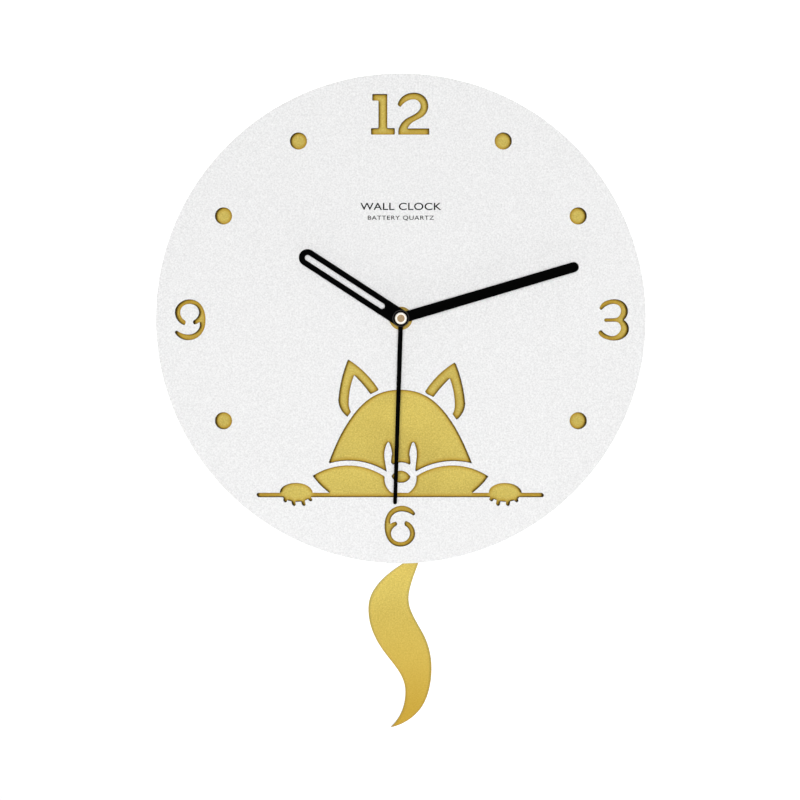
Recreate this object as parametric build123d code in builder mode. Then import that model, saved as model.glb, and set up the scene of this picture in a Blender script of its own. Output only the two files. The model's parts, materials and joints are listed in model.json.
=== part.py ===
"""Cat tail wall clock: laser-cut dial, gold backing, pendulum quartz movement and swinging tail.

Frame: millimetres, +Z up, the dial faces -Y. The origin is the centre of the hanger's round
hole, in the plane of the wall. Every drawing is made as seen from the front, about the dial's
centre, and a depth is a distance in front of the wall.
"""

from build123d import *
from math import atan2, cos, hypot, pi, radians, sin
import os

os.makedirs("parts", exist_ok=True)

# ---------------------------------------------------------------- driving dimensions
DIAL_RADIUS = 150.0
DIAL_DROP = 38.0  # the dial's centre lies this far below the hanger's hole
BOARD_THICKNESS = 5.0
BACKING_RADIUS = 146.0
BACKING_THICKNESS = 2.0
LASER_CORNER = 0.6  # the laser leaves every sharp corner this round

DOT_RADIUS = 5.25
DOT_CIRCLE_RADIUS = 125.3
DOT_HOURS = (1, 2, 4, 8, 10, 11)

# depths in front of the wall, from the back of the clock to its front
CASE_BACK = 1.0
COVER_THICKNESS = 2.0
CASE_DEPTH = 18.0
HANGER_THICKNESS = 1.0
GASKET_THICKNESS = 0.8
WASHER_THICKNESS = 0.8
NUT_THICKNESS = 2.0
COVER_FRONT = CASE_BACK + COVER_THICKNESS
CASE_FRONT = CASE_BACK + CASE_DEPTH
GASKET_BACK = CASE_FRONT + HANGER_THICKNESS
BACKING_BACK = GASKET_BACK + GASKET_THICKNESS
BOARD_BACK = BACKING_BACK + BACKING_THICKNESS
BOARD_FRONT = BOARD_BACK + BOARD_THICKNESS
NUT_BACK = BOARD_FRONT + WASHER_THICKNESS
NUT_FRONT = NUT_BACK + NUT_THICKNESS
BUSH_FRONT = NUT_FRONT + 1.0

# movement case
CASE_WIDTH = 58.0
CASE_TOP = 28.0
CASE_BOTTOM = -84.0
CASE_CORNER = 4.0
WALL = 1.2
CASE_FLOOR = CASE_FRONT - WALL  # the inner face of the case's front wall
CASE_HEIGHT = CASE_TOP - CASE_BOTTOM
CASE_MIDDLE = (CASE_TOP + CASE_BOTTOM) / 2

# AA cell and its bay
CELL_RADIUS = 7.25
CELL_LENGTH = 50.5
CELL_RIGHT = 26.7
CELL_DEPTH = 9.2
BAY_HEIGHT = 15.2
BAY_MIDDLE = -38.0
BAY_HALF_LENGTH = 27.2

# coaxial shafts and the hands
BUSH_RADIUS = 4.0
BUSH_BORE = 2.62
THREAD_PITCH = 0.75
THREAD_DEPTH = 0.35
HOUR_TUBE_RADIUS = 2.55
HOUR_TUBE_BORE = 1.82
MINUTE_TUBE_RADIUS = 1.75
MINUTE_TUBE_BORE = 0.58
SECONDS_ARBOR_RADIUS = 0.5
HOUR_HAND_BACK = 32.8
MINUTE_HAND_BACK = 35.2
SECOND_HAND_BACK = 37.8
HAND_THICKNESS = 0.6
SECOND_HAND_THICKNESS = 0.4
HOUR_CLOCKWISE = 303.0  # degrees clockwise from twelve o'clock
MINUTE_CLOCKWISE = 73.5
SECOND_CLOCKWISE = 181.8
BOSS_RADIUS = 5.0

# layers of the gear train: the depth of each layer's back
LAYER_THIRD = 4.4
LAYER_SECONDS = 6.6
LAYER_TRANSFER = 8.8
LAYER_BRIDGE = 11.0
LAYER_CENTRE = 12.8
LAYER_MOTION = 14.2
LAYER_HOUR = 16.0
WHEEL_THICKNESS = 1.2
CENTRE_WHEEL_THICKNESS = 0.8
MOTION_THICKNESS = 1.0
BRIDGE_THICKNESS = 1.2
PIVOT_RADIUS = 0.30
PIVOT_LENGTH = 0.6
PIVOT_HOLE_DEPTH = 0.8
HUB_RADIUS = 0.8
RUNNING_FIT = 0.05  # radial clearance of a part that turns in a hole
END_PLAY = 0.4  # gap between a turning part and the wall it faces

# round windows in the webs of the wheels: number, radius of their circle, radius of each
THIRD_WINDOWS = (5, 5.4, 2.0)
SECONDS_WINDOWS = (4, 4.9, 1.9)
TRANSFER_WINDOWS = (5, 6.2, 2.3)
CENTRE_WINDOWS = (5, 6.4, 2.2)

# pendulum
PIVOT_DROP = -54.0  # height of the pendulum's pin
HOOK_DROP = -89.0
MAGNET_DROP = -72.0
LEVER_BACK = 7.6
LEVER_THICKNESS = 2.4
LEVER_FRONT = LEVER_BACK + LEVER_THICKNESS
PIN_RADIUS = 1.0
DRIVE_GAP = 4.0  # from the lever's front to the drive coil
TAIL_THICKNESS = 3.0
STRIP_THICKNESS = 0.8
STRIP_BOTTOM = -141.0
RIVET_HEIGHTS = (-131.0, -137.5)
RIVET_RADIUS = 1.0
RIVET_HEAD_RADIUS = 1.9
RIVET_HEAD_HEIGHT = 0.6

# ---------------------------------------------------------------- gear train
ORIGIN = (0.0, 0.0)


def polar(centre, distance, angle):
    """The point at a distance and an angle in degrees from a centre."""
    turn = radians(angle)
    return (centre[0] + distance * cos(turn), centre[1] + distance * sin(turn))


def centre_distance(teeth_a, teeth_b, module):
    return (teeth_a + teeth_b) * module / 2


ROTOR_TEETH, THIRD_TEETH, ROTOR_MODULE = 8, 60, 0.30
THIRD_PINION_TEETH, SECONDS_TEETH, SECONDS_MODULE = 12, 48, 0.35
SECONDS_PINION_TEETH, TRANSFER_TEETH, TRANSFER_MODULE = 8, 60, 0.36
TRANSFER_PINION_TEETH, CENTRE_TEETH, CENTRE_MODULE = 8, 64, 0.34
CANNON_TEETH, REVERSING_TEETH, CANNON_MODULE = 12, 36, 0.375
REVERSING_PINION_TEETH, HOUR_TEETH, HOUR_MODULE = 10, 40, 0.36

TRANSFER_AT, THIRD_AT, REVERSING_AT, SETTING_AT, ROTOR_AT = 150.0, -30.0, 60.0, 20.0, -35.0
TRANSFER_AXIS = polar(
    ORIGIN, centre_distance(SECONDS_PINION_TEETH, TRANSFER_TEETH, TRANSFER_MODULE), TRANSFER_AT
)
THIRD_AXIS = polar(
    ORIGIN, centre_distance(THIRD_PINION_TEETH, SECONDS_TEETH, SECONDS_MODULE), THIRD_AT
)
ROTOR_AXIS = polar(THIRD_AXIS, centre_distance(ROTOR_TEETH, THIRD_TEETH, ROTOR_MODULE), ROTOR_AT)
REVERSING_AXIS = polar(
    ORIGIN, centre_distance(CANNON_TEETH, REVERSING_TEETH, CANNON_MODULE), REVERSING_AT
)
SETTING_AXIS = polar(
    REVERSING_AXIS, centre_distance(CANNON_TEETH, REVERSING_TEETH, CANNON_MODULE), SETTING_AT
)
WHEEL_ADDENDUM, PINION_ADDENDUM = 0.8, 0.6  # height of the teeth above the pitch circle, in modules
DEDENDUM = 1.25
TOOTH_SHARE = 0.42  # tooth width over pitch, the rest is the gap


def meshed_phase(phase, teeth, mate_teeth, direction):
    """Angle of one tooth of the mate, so that its gap faces a tooth of the first gear.

    phase is the angle of one tooth of the first gear, and direction is the angle of the line
    from the first gear's centre to the mate's.
    """
    return direction + 180 + 180 / mate_teeth - (phase - direction) * teeth / mate_teeth


def tooth_outline(teeth, module, mate_teeth, phase, addendum):
    """Corner points of a clock gear: radial flanks, and epicycloid tips cut off at addendum."""
    pitch_radius = teeth * module / 2
    rolling_radius = mate_teeth * module / 4
    root_radius = pitch_radius - DEDENDUM * module
    half_tooth = TOOTH_SHARE * pi / teeth
    flank = [(root_radius, half_tooth), (pitch_radius, half_tooth)]
    roll = 0.0
    for height in (0.5 * addendum * module, addendum * module):
        radius = pitch_radius
        while radius < pitch_radius + height:
            roll += 0.01
            far = roll * (pitch_radius + rolling_radius) / rolling_radius
            x = (pitch_radius + rolling_radius) * cos(roll) - rolling_radius * cos(far)
            y = (pitch_radius + rolling_radius) * sin(roll) - rolling_radius * sin(far)
            radius = hypot(x, y)
        flank.append((radius, max(half_tooth - atan2(y, x), 0.15 * half_tooth)))
    points = []
    for tooth in range(teeth):
        middle = radians(phase) + 2 * pi * tooth / teeth
        rising = [(radius, middle - angle) for radius, angle in flank]
        falling = [(radius, middle + angle) for radius, angle in reversed(flank)]
        points += [(r * cos(angle), r * sin(angle)) for r, angle in rising + falling]
    return points


# ---------------------------------------------------------------- drawing helpers
def front_plane(depth, centre=ORIGIN):
    """Plane parallel to the wall, drawn from the front about a point on the dial."""
    origin = (centre[0], -depth, centre[1] - DIAL_DROP)
    return Plane(origin=origin, x_dir=(1, 0, 0), z_dir=(0, -1, 0))


def side_plane(x):
    """Plane square to the wall: local x is the depth in front of the wall, local y is height."""
    return Plane(origin=(x, 0, -DIAL_DROP), x_dir=(0, -1, 0), z_dir=(-1, 0, 0))


def disc(radius, back, front, centre=ORIGIN, bore=0.0, mode=Mode.ADD):
    """A disc or a ring between two depths, in the current part."""
    with BuildSketch(front_plane(back, centre)) as face:
        Circle(radius)
        if bore:
            Circle(bore, mode=Mode.SUBTRACT)
    extrude(face.sketch, amount=front - back, mode=mode)


def bar(low, high, back, front, mode=Mode.ADD):
    """A straight block between two corners of the drawing and two depths."""
    with BuildSketch(front_plane(back, ((low[0] + high[0]) / 2, (low[1] + high[1]) / 2))) as face:
        Rectangle(high[0] - low[0], high[1] - low[1])
    extrude(face.sketch, amount=front - back, mode=mode)


def gear(teeth, module, mate_teeth, phase, back, front, centre=ORIGIN, addendum=WHEEL_ADDENDUM):
    """A toothed disc between two depths, in the current part."""
    with BuildSketch(front_plane(back, centre)) as face:
        with BuildLine():
            outline = tooth_outline(teeth, module, mate_teeth, phase, addendum)
            Polyline(*outline, close=True)
        make_face()
    extrude(face.sketch, amount=front - back)


def windows(count, circle_radius, radius, back, front, centre=ORIGIN):
    """Round lightening holes in a wheel's web."""
    with BuildSketch(front_plane(back, centre)) as holes:
        with PolarLocations(circle_radius, count):
            Circle(radius)
    extrude(holes.sketch, amount=front - back, mode=Mode.SUBTRACT)


def finish(builder, name):
    builder.part.label = name
    export_step(builder.part, f"parts/{name}.step")


# ---------------------------------------------------------------- the dial's cut-outs
def digit_one():
    with BuildSketch() as digit:
        with BuildLine():
            Polyline(
                (-17.5, 137.3), (-8.3, 137.3), (-8.3, 116.4), (-3.7, 116.4), (-3.7, 112.4),
                (-18.3, 112.4), (-18.3, 116.4), (-13.7, 116.4), (-13.7, 133.2), (-17.5, 133.2),
                close=True,
            )
        make_face()
        fillet(digit.vertices(), LASER_CORNER)
    add(digit.sketch)


def digit_two():
    with BuildSketch() as digit:
        with BuildLine():
            Spline(
                (-1.9, 131.2), (1.8, 136.3), (7.8, 138.1), (14.3, 135.8), (16.8, 129.6),
                (14.3, 124.1), (8.8, 120.9), (4.2, 116.2),
            )
            Polyline((4.2, 116.2), (17.4, 116.2), (17.4, 112.4), (-1.5, 112.4))
            Spline(
                (-1.5, 112.4), (-0.4, 118.2), (3.3, 122.2), (8.8, 125.1), (12.1, 129.8),
                (10.3, 133.2), (6.6, 133.9), (3.2, 132.6), (-0.1, 129.5),
            )
            ThreePointArc((-0.1, 129.5), (-1.3, 129.9), (-1.9, 131.2))
        make_face()
    add(digit.sketch)


def digit_three():
    with BuildSketch() as digit:
        with BuildLine():
            Spline(
                (121.6, 6.6), (124.0, 9.8), (128.6, 11.5), (133.6, 11.3), (137.4, 8.8),
                (139.0, 4.6), (138.3, 1.4), (136.4, -1.0),
            )
            Spline(
                (136.4, -1.0), (139.0, -3.9), (139.5, -7.4), (137.4, -11.2), (132.4, -13.5),
                (126.4, -13.0), (122.8, -11.4), (120.9, -9.2),
            )
            ThreePointArc((120.9, -9.2), (121.3, -7.8), (122.7, -7.3))
            Spline(
                (122.7, -7.3), (126.1, -10.0), (130.2, -10.8), (133.4, -8.9), (134.7, -5.7),
                (133.4, -3.0), (130.6, -2.1),
            )
            Line((130.6, -2.1), (125.5, -2.2))
            ThreePointArc((125.5, -2.2), (124.4, -1.1), (125.5, 0.0))
            Line((125.5, 0.0), (131.0, 0.1))
            Spline(
                (131.0, 0.1), (133.9, 1.9), (134.7, 4.8), (133.6, 7.5), (130.6, 8.8),
                (126.8, 8.1), (123.1, 5.3),
            )
            ThreePointArc((123.1, 5.3), (121.9, 5.5), (121.6, 6.6))
        make_face()
    add(digit.sketch)


def digit_six(centre, turned):
    """The six, drawn about its own middle; turned upside down, it is the nine."""
    with BuildSketch() as digit:
        with BuildLine():
            Spline(
                (9.2, 8.2), (5.8, 11.4), (1.6, 12.5), (-3.8, 11.2), (-8.0, 6.8), (-9.4, 0.4),
                (-8.4, -6.0), (-5.0, -10.8), (0.4, -12.5), (5.8, -10.8), (9.2, -6.0),
                (8.4, -0.8), (3.6, 3.3),
            )
            ThreePointArc((3.6, 3.3), (2.8, 1.8), (3.1, 0.4))
            Spline(
                (3.1, 0.4), (5.5, -2.0), (6.1, -4.9), (4.4, -8.3), (0.4, -9.7), (-3.7, -8.2),
                (-5.4, -4.7), (-4.6, -1.9), (-2.5, 0.1),
            )
            ThreePointArc((-2.5, 0.1), (-1.7, 1.6), (-2.7, 2.8))
            ThreePointArc((-2.7, 2.8), (-4.3, 2.3), (-5.7, 1.4))
            Spline((-5.7, 1.4), (-5.1, 5.7), (-2.2, 8.3), (1.6, 9.0), (5.0, 8.3), (8.0, 6.6))
            ThreePointArc((8.0, 6.6), (9.1, 7.0), (9.2, 8.2))
        make_face()
    with Locations(centre):
        add(digit.sketch, rotation=turned)


def left_ear():
    with BuildLine() as outline:
        ThreePointArc((-31.7, -25.6), (-22.6, -32.6), (-13.7, -43.3))
        Polyline((-13.7, -43.3), (-14.2, -44.4), (-18.5, -46.4))
        ThreePointArc((-18.5, -46.4), (-22.9, -40.8), (-28.6, -34.8))
        ThreePointArc((-28.6, -34.8), (-31.1, -43.5), (-31.9, -52.0))
        ThreePointArc((-31.9, -52.0), (-31.5, -54.9), (-30.5, -57.2))
        Line((-30.5, -57.2), (-32.7, -60.3))
        ThreePointArc((-32.7, -60.3), (-36.4, -56.0), (-37.9, -50.4))
        ThreePointArc((-37.9, -50.4), (-36.2, -39.0), (-32.3, -26.3))
        Line((-32.3, -26.3), (-31.7, -25.6))
    make_face(outline.edges())


def ears():
    with BuildSketch() as ear:
        left_ear()
        fillet(ear.vertices(), LASER_CORNER / 3)
    add(ear.sketch)
    with Locations((1.5, -1.8)):
        add(mirror(ear.sketch, about=Plane.YZ, mode=Mode.PRIVATE))


def head():
    """The dome of the head, and the two long white fingers of the muzzle that rise into it."""
    with BuildSketch() as forehead:
        with BuildLine():
            Spline(
                (-43.8, -88.8), (-38.0, -74.8), (-29.5, -60.5), (-19.0, -49.7), (-9.0, -45.1),
                (0.6, -44.1), (9.6, -45.3), (18.8, -49.7), (29.2, -60.5), (37.6, -74.8),
                (43.6, -88.8),
            )
            ThreePointArc((43.6, -88.8), (32.0, -87.3), (9.1, -93.8))
            Spline(
                (9.1, -93.8), (10.0, -86.1), (9.5, -79.0), (7.7, -75.8), (6.0, -79.0),
                (5.6, -84.5),
            )
            Polyline((5.6, -84.5), (6.0, -88.7), (5.2, -89.6))
            ThreePointArc((5.2, -89.6), (0.2, -88.1), (-4.8, -89.6))
            Polyline((-4.8, -89.6), (-5.7, -88.7), (-5.3, -84.5))
            Spline(
                (-5.3, -84.5), (-5.8, -79.0), (-7.6, -75.8), (-9.4, -79.0), (-9.9, -86.1),
                (-8.6, -93.9),
            )
            ThreePointArc((-8.6, -93.9), (-32.4, -87.1), (-43.8, -88.8))
        make_face()
    add(forehead.sketch)
    with BuildLine() as nose:
        ThreePointArc((-5.3, -96.9), (0.3, -93.6), (5.9, -96.9))
        ThreePointArc((5.9, -96.9), (4.4, -99.2), (0.3, -100.6))
        ThreePointArc((0.3, -100.6), (-3.8, -99.2), (-5.3, -96.9))
    make_face(nose.edges())


def cheeks_and_shelf():
    """Both cheeks, the thin shelf line below them and the two paws that hold it."""
    with BuildSketch() as cheek:
        with BuildLine():
            ThreePointArc((-53.6, -96.8), (-32.5, -90.4), (-9.9, -96.9))
            ThreePointArc((-9.9, -96.9), (-9.0, -102.6), (-4.4, -107.5))
            Line((-4.4, -107.5), (-42.8, -107.5))
            ThreePointArc((-42.8, -107.5), (-48.7, -102.6), (-53.6, -96.8))
        make_face()
    with BuildSketch() as paw:
        Ellipse(9.8, 5.6)
        for root, tip in (
            ((-6.4, -3.2), (-6.8, -4.9)),
            ((-1.9, -4.6), (-1.5, -7.1)),
            ((4.0, -4.6), (4.5, -7.1)),
            ((7.8, -3.0), (8.6, -4.3)),
        ):
            middle = ((root[0] + tip[0]) / 2, (root[1] + tip[1]) / 2)
            SlotCenterPoint(middle, tip, CLAW_WIDTH)
    add(cheek.sketch)
    add(mirror(cheek.sketch, about=Plane.YZ, mode=Mode.PRIVATE))
    with Locations((-63.8, -106.7)):
        add(paw.sketch)
    with Locations((64.1, -106.7)):
        add(mirror(paw.sketch, about=Plane.YZ, mode=Mode.PRIVATE))
    with Locations((-0.2, -108.3)):
        SlotOverall(175.4, SHELF_LINE_WIDTH)


CLAW_WIDTH = 2.0
SHELF_LINE_WIDTH = 2.3
CAT_AT = (-0.4, 0.4)
BORE_CLEARANCE = 0.1  # of the boards and washers around the threaded bush
BOARD_BORE = BUSH_RADIUS + BORE_CLEARANCE

with BuildPart() as front_board:
    disc(DIAL_RADIUS, BOARD_BACK, BOARD_FRONT, bore=BOARD_BORE)
    with BuildSketch(front_plane(BOARD_BACK)) as cut_outs:
        digit_one()
        digit_two()
        digit_three()
        digit_six((-0.6, -127.2), 0)
        digit_six((-128.9, -0.9), 180)
        for hour in DOT_HOURS:
            with Locations(polar(ORIGIN, DOT_CIRCLE_RADIUS, 90 - 30 * hour)):
                Circle(DOT_RADIUS)
        with BuildSketch() as cat:
            ears()
            head()
            cheeks_and_shelf()
        with Locations(CAT_AT):
            add(cat.sketch)
    extrude(cut_outs.sketch, amount=BOARD_THICKNESS, mode=Mode.SUBTRACT)
finish(front_board, "front_board")

with BuildPart() as gold_backing_plate:
    disc(BACKING_RADIUS, BACKING_BACK, BOARD_BACK, bore=BOARD_BORE)
finish(gold_backing_plate, "gold_backing_plate")

# ---------------------------------------------------------------- hanger, washers and nut
HANGER_WIDTH = 16.0
HANGER_SHELF = CASE_TOP + 0.7
HANGER_TOP = 50.0
HANGER_EYE_RADIUS = 9.0
HANGER_BEND = 1.2
HANGER_CORNER = 5.0
KEYHOLE_RADIUS = 4.2
KEYHOLE_SLOT_WIDTH = 4.2
KEYHOLE_SLOT_LENGTH = 12.2
KEYHOLE_SLOT_RISE = 4.0  # middle of the slot above the round hole's centre
with BuildPart() as wall_hanger:
    half = HANGER_THICKNESS / 2
    with BuildSketch(side_plane(0)):
        with BuildLine():
            FilletPolyline(
                (CASE_FRONT + half, 0), (CASE_FRONT + half, HANGER_SHELF),
                (half, HANGER_SHELF), (half, HANGER_TOP), radius=HANGER_BEND,
            )
        trace(line_width=HANGER_THICKNESS)
    extrude(amount=HANGER_WIDTH / 2, both=True)
    disc(HANGER_EYE_RADIUS, CASE_FRONT, GASKET_BACK)
    disc(BOARD_BORE, CASE_FRONT, GASKET_BACK, mode=Mode.SUBTRACT)
    disc(KEYHOLE_RADIUS, 0, HANGER_THICKNESS, (0, DIAL_DROP), mode=Mode.SUBTRACT)
    with BuildSketch(front_plane(0, (0, DIAL_DROP + KEYHOLE_SLOT_RISE))) as slot:
        SlotOverall(KEYHOLE_SLOT_LENGTH, KEYHOLE_SLOT_WIDTH, rotation=90)
    extrude(slot.sketch, amount=HANGER_THICKNESS, mode=Mode.SUBTRACT)
    fillet(wall_hanger.edges().filter_by(Axis.Y).group_by(Axis.Z)[-1], HANGER_CORNER)
finish(wall_hanger, "wall_hanger")

GASKET_RADIUS = 12.0
with BuildPart() as rubber_gasket:
    disc(GASKET_RADIUS, GASKET_BACK, BACKING_BACK, bore=BUSH_RADIUS)
finish(rubber_gasket, "rubber_gasket")

WASHER_RADIUS, WASHER_CHAMFER = 7.1, 0.2
with BuildPart() as brass_washer:
    disc(WASHER_RADIUS, BOARD_FRONT, NUT_BACK, bore=BOARD_BORE)
    chamfer(brass_washer.faces().sort_by(Axis.Y)[0].outer_wire().edges(), WASHER_CHAMFER)
finish(brass_washer, "brass_washer")

NUT_FLATS, NUT_CHAMFER = 10.6, 0.3
with BuildPart() as hex_nut:
    with BuildSketch(front_plane(NUT_BACK)):
        RegularPolygon(NUT_FLATS / 2, 6, major_radius=False)
        Circle(BUSH_RADIUS, mode=Mode.SUBTRACT)
    extrude(amount=NUT_THICKNESS)
    chamfer(hex_nut.faces().sort_by(Axis.Y)[0].inner_wires()[0].edges(), NUT_CHAMFER)
finish(hex_nut, "hex_nut")

with BuildPart() as threaded_bush:
    with BuildSketch(side_plane(0)) as section:
        with BuildLine():
            thread = [(CASE_FRONT, BUSH_RADIUS - THREAD_DEPTH)]
            while thread[-1][0] + THREAD_PITCH < BUSH_FRONT:
                start = thread[-1][0]
                thread.append((start + THREAD_PITCH / 2, BUSH_RADIUS))
                thread.append((start + THREAD_PITCH, BUSH_RADIUS - THREAD_DEPTH))
            Polyline(
                (CASE_FLOOR, BUSH_BORE), (CASE_FLOOR, BUSH_RADIUS), (CASE_FRONT, BUSH_RADIUS),
                *thread, (BUSH_FRONT, BUSH_RADIUS - THREAD_DEPTH), (BUSH_FRONT, BUSH_BORE),
                close=True,
            )
        make_face()
    revolve(section.sketch, Axis((0, 0, -DIAL_DROP), (0, 1, 0)))
finish(threaded_bush, "threaded_bush")

# ---------------------------------------------------------------- movement case
BRIDGE_POSTS = ((-24.0, 24.0), (24.0, 24.0), (-24.0, -13.0), (24.0, -13.0))
BAY_TOP = BAY_MIDDLE + BAY_HEIGHT / 2
BAY_BOTTOM = BAY_MIDDLE - BAY_HEIGHT / 2
POST_RADIUS, SPIGOT_RADIUS = 1.8, 0.8
CASE_RIM_ROUNDING = 0.8
BAY_RIB_OFFSET, BAY_RIB_HALF, BAY_RIB_HEIGHT = 12.0, 0.6, 0.8
PIVOT_BOSS_RADIUS, FRONT_BOSS_LENGTH, REAR_BOSS_LENGTH = 2.6, 4.0, 3.0
KNOB_RADIUS = 5.2
WELL_RADIUS = KNOB_RADIUS + 0.6
WELL_FLOOR = 4.2
WELL_WALL = 1.0
STEM_RADIUS = 1.5
LEVER_SLOT_HALF = 9.0
GRIP_HEIGHTS = (-62.0, -66.0, -70.0, -74.0)
GRIP_HALF_LENGTH, GRIP_HALF_WIDTH, GRIP_DEPTH = 16.0, 0.6, 0.5

with BuildPart() as movement_front_case:
    with BuildSketch(front_plane(COVER_FRONT, (0, CASE_MIDDLE))):
        RectangleRounded(CASE_WIDTH, CASE_HEIGHT, CASE_CORNER)
    extrude(amount=CASE_FRONT - COVER_FRONT)
    front_rim = movement_front_case.faces().sort_by(Axis.Y)[0].outer_wire().edges()
    fillet(front_rim, CASE_RIM_ROUNDING)
    with BuildSketch(front_plane(COVER_FRONT, (0, CASE_MIDDLE))):
        RectangleRounded(CASE_WIDTH - 2 * WALL, CASE_HEIGHT - 2 * WALL, CASE_CORNER - WALL)
    extrude(amount=CASE_FLOOR - COVER_FRONT, mode=Mode.SUBTRACT)
    inner_half = CASE_WIDTH / 2 - WALL
    bar((-inner_half, BAY_TOP), (inner_half, BAY_TOP + WALL), COVER_FRONT, CASE_FLOOR)
    bar((-inner_half, BAY_BOTTOM - WALL), (inner_half, BAY_BOTTOM), COVER_FRONT, CASE_FLOOR)
    for side in (-1, 1):
        rib = side * BAY_RIB_OFFSET
        bar(
            (rib - BAY_RIB_HALF, BAY_BOTTOM), (rib + BAY_RIB_HALF, BAY_TOP),
            CASE_FLOOR - BAY_RIB_HEIGHT, CASE_FLOOR,
        )
    for post in BRIDGE_POSTS:
        disc(POST_RADIUS, LAYER_BRIDGE + BRIDGE_THICKNESS, CASE_FLOOR, post)
        disc(SPIGOT_RADIUS, LAYER_BRIDGE, LAYER_BRIDGE + BRIDGE_THICKNESS, post)
    disc(SPIGOT_RADIUS, LAYER_MOTION, CASE_FLOOR, REVERSING_AXIS)
    disc(PIVOT_BOSS_RADIUS, CASE_FLOOR - FRONT_BOSS_LENGTH, CASE_FLOOR, (0, PIVOT_DROP))
    disc(
        PIN_RADIUS, CASE_FLOOR - FRONT_BOSS_LENGTH, CASE_FLOOR, (0, PIVOT_DROP),
        mode=Mode.SUBTRACT,
    )
    disc(BUSH_RADIUS, CASE_FLOOR, CASE_FRONT, mode=Mode.SUBTRACT)
    for radius, axis in ((PIVOT_RADIUS, TRANSFER_AXIS), (SPIGOT_RADIUS, SETTING_AXIS)):
        disc(
            radius + RUNNING_FIT, CASE_FLOOR, CASE_FLOOR + PIVOT_HOLE_DEPTH, axis,
            mode=Mode.SUBTRACT,
        )
    bar(
        (-LEVER_SLOT_HALF, CASE_BOTTOM), (LEVER_SLOT_HALF, CASE_BOTTOM + WALL),
        COVER_FRONT, LEVER_FRONT + DRIVE_GAP, mode=Mode.SUBTRACT,
    )
finish(movement_front_case, "movement_front_case")

with BuildPart() as movement_rear_cover:
    with BuildSketch(front_plane(CASE_BACK, (0, CASE_MIDDLE))):
        RectangleRounded(CASE_WIDTH, CASE_HEIGHT, CASE_CORNER)
    extrude(amount=COVER_THICKNESS)
    bar(
        (-BAY_HALF_LENGTH, BAY_BOTTOM), (BAY_HALF_LENGTH, BAY_TOP),
        CASE_BACK, COVER_FRONT, mode=Mode.SUBTRACT,
    )
    disc(WELL_RADIUS + WELL_WALL, CASE_BACK, WELL_FLOOR + WELL_WALL, SETTING_AXIS)
    disc(WELL_RADIUS, CASE_BACK, WELL_FLOOR, SETTING_AXIS, mode=Mode.SUBTRACT)
    disc(
        STEM_RADIUS + RUNNING_FIT, CASE_BACK, WELL_FLOOR + WELL_WALL, SETTING_AXIS,
        mode=Mode.SUBTRACT,
    )
    for axis in (ORIGIN, THIRD_AXIS, TRANSFER_AXIS, ROTOR_AXIS):
        disc(
            PIVOT_RADIUS + RUNNING_FIT, COVER_FRONT - PIVOT_HOLE_DEPTH, COVER_FRONT, axis,
            mode=Mode.SUBTRACT,
        )
    disc(PIVOT_BOSS_RADIUS, COVER_FRONT, COVER_FRONT + REAR_BOSS_LENGTH, (0, PIVOT_DROP))
    disc(
        PIN_RADIUS, COVER_FRONT, COVER_FRONT + REAR_BOSS_LENGTH, (0, PIVOT_DROP),
        mode=Mode.SUBTRACT,
    )
    for height in GRIP_HEIGHTS:
        bar(
            (-GRIP_HALF_LENGTH, height - GRIP_HALF_WIDTH),
            (GRIP_HALF_LENGTH, height + GRIP_HALF_WIDTH),
            CASE_BACK, CASE_BACK + GRIP_DEPTH, mode=Mode.SUBTRACT,
        )
finish(movement_rear_cover, "movement_rear_cover")

BRIDGE_WIDTH, BRIDGE_HEIGHT, BRIDGE_CORNER, BRIDGE_MIDDLE = 52.0, 42.0, 3.0, 5.0
TRANSFER_PINION_HOLE = 2.3
with BuildPart() as gear_bridge:
    with BuildSketch(front_plane(LAYER_BRIDGE, (0, BRIDGE_MIDDLE))):
        RectangleRounded(BRIDGE_WIDTH, BRIDGE_HEIGHT, BRIDGE_CORNER)
    extrude(amount=BRIDGE_THICKNESS)
    for post in BRIDGE_POSTS:
        disc(
            SPIGOT_RADIUS, LAYER_BRIDGE, LAYER_BRIDGE + BRIDGE_THICKNESS, post,
            mode=Mode.SUBTRACT,
        )
    for axis, radius in (
        (ORIGIN, MINUTE_TUBE_RADIUS + RUNNING_FIT),
        (TRANSFER_AXIS, TRANSFER_PINION_HOLE),
        (SETTING_AXIS, STEM_RADIUS + RUNNING_FIT),
        (THIRD_AXIS, PIVOT_RADIUS + RUNNING_FIT),
        (ROTOR_AXIS, PIVOT_RADIUS + RUNNING_FIT),
    ):
        disc(radius, LAYER_BRIDGE, LAYER_BRIDGE + BRIDGE_THICKNESS, axis, mode=Mode.SUBTRACT)
finish(gear_bridge, "gear_bridge")

# ---------------------------------------------------------------- stepping motor and electronics
COIL_HEIGHT = -22.0
COIL_LEFT, COIL_RIGHT = -8.0, 18.0
STATOR_BACK, STATOR_THICKNESS = 8.0, 0.6
STATOR_ARMS = (  # middle and size of each straight arm
    ((2.0, -15.6), (31.0, 4.2)),
    ((-11.5, -18.8), (4.0, 10.6)),
    ((22.5, -17.6), (4.0, 13.0)),
)
STATOR_RING_RADIUS = 5.6
CORE_BACK, CORE_THICKNESS = STATOR_BACK + STATOR_THICKNESS, 0.6
CORE_LEFT, CORE_RIGHT, CORE_HALF_WIDTH = -13.3, 24.3, 1.5
CORE_LOW, CORE_HIGH = COIL_HEIGHT - CORE_HALF_WIDTH, COIL_HEIGHT + CORE_HALF_WIDTH
COIL_DEPTH = CORE_BACK + CORE_THICKNESS / 2
ROTOR_MAGNET_RADIUS = 2.8
ROTOR_GAP = 0.4
COIL_RADIUS, SLEEVE_RADIUS, FLANGE_RADIUS, FLANGE_THICKNESS = 3.2, 1.9, 3.4, 0.8


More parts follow.
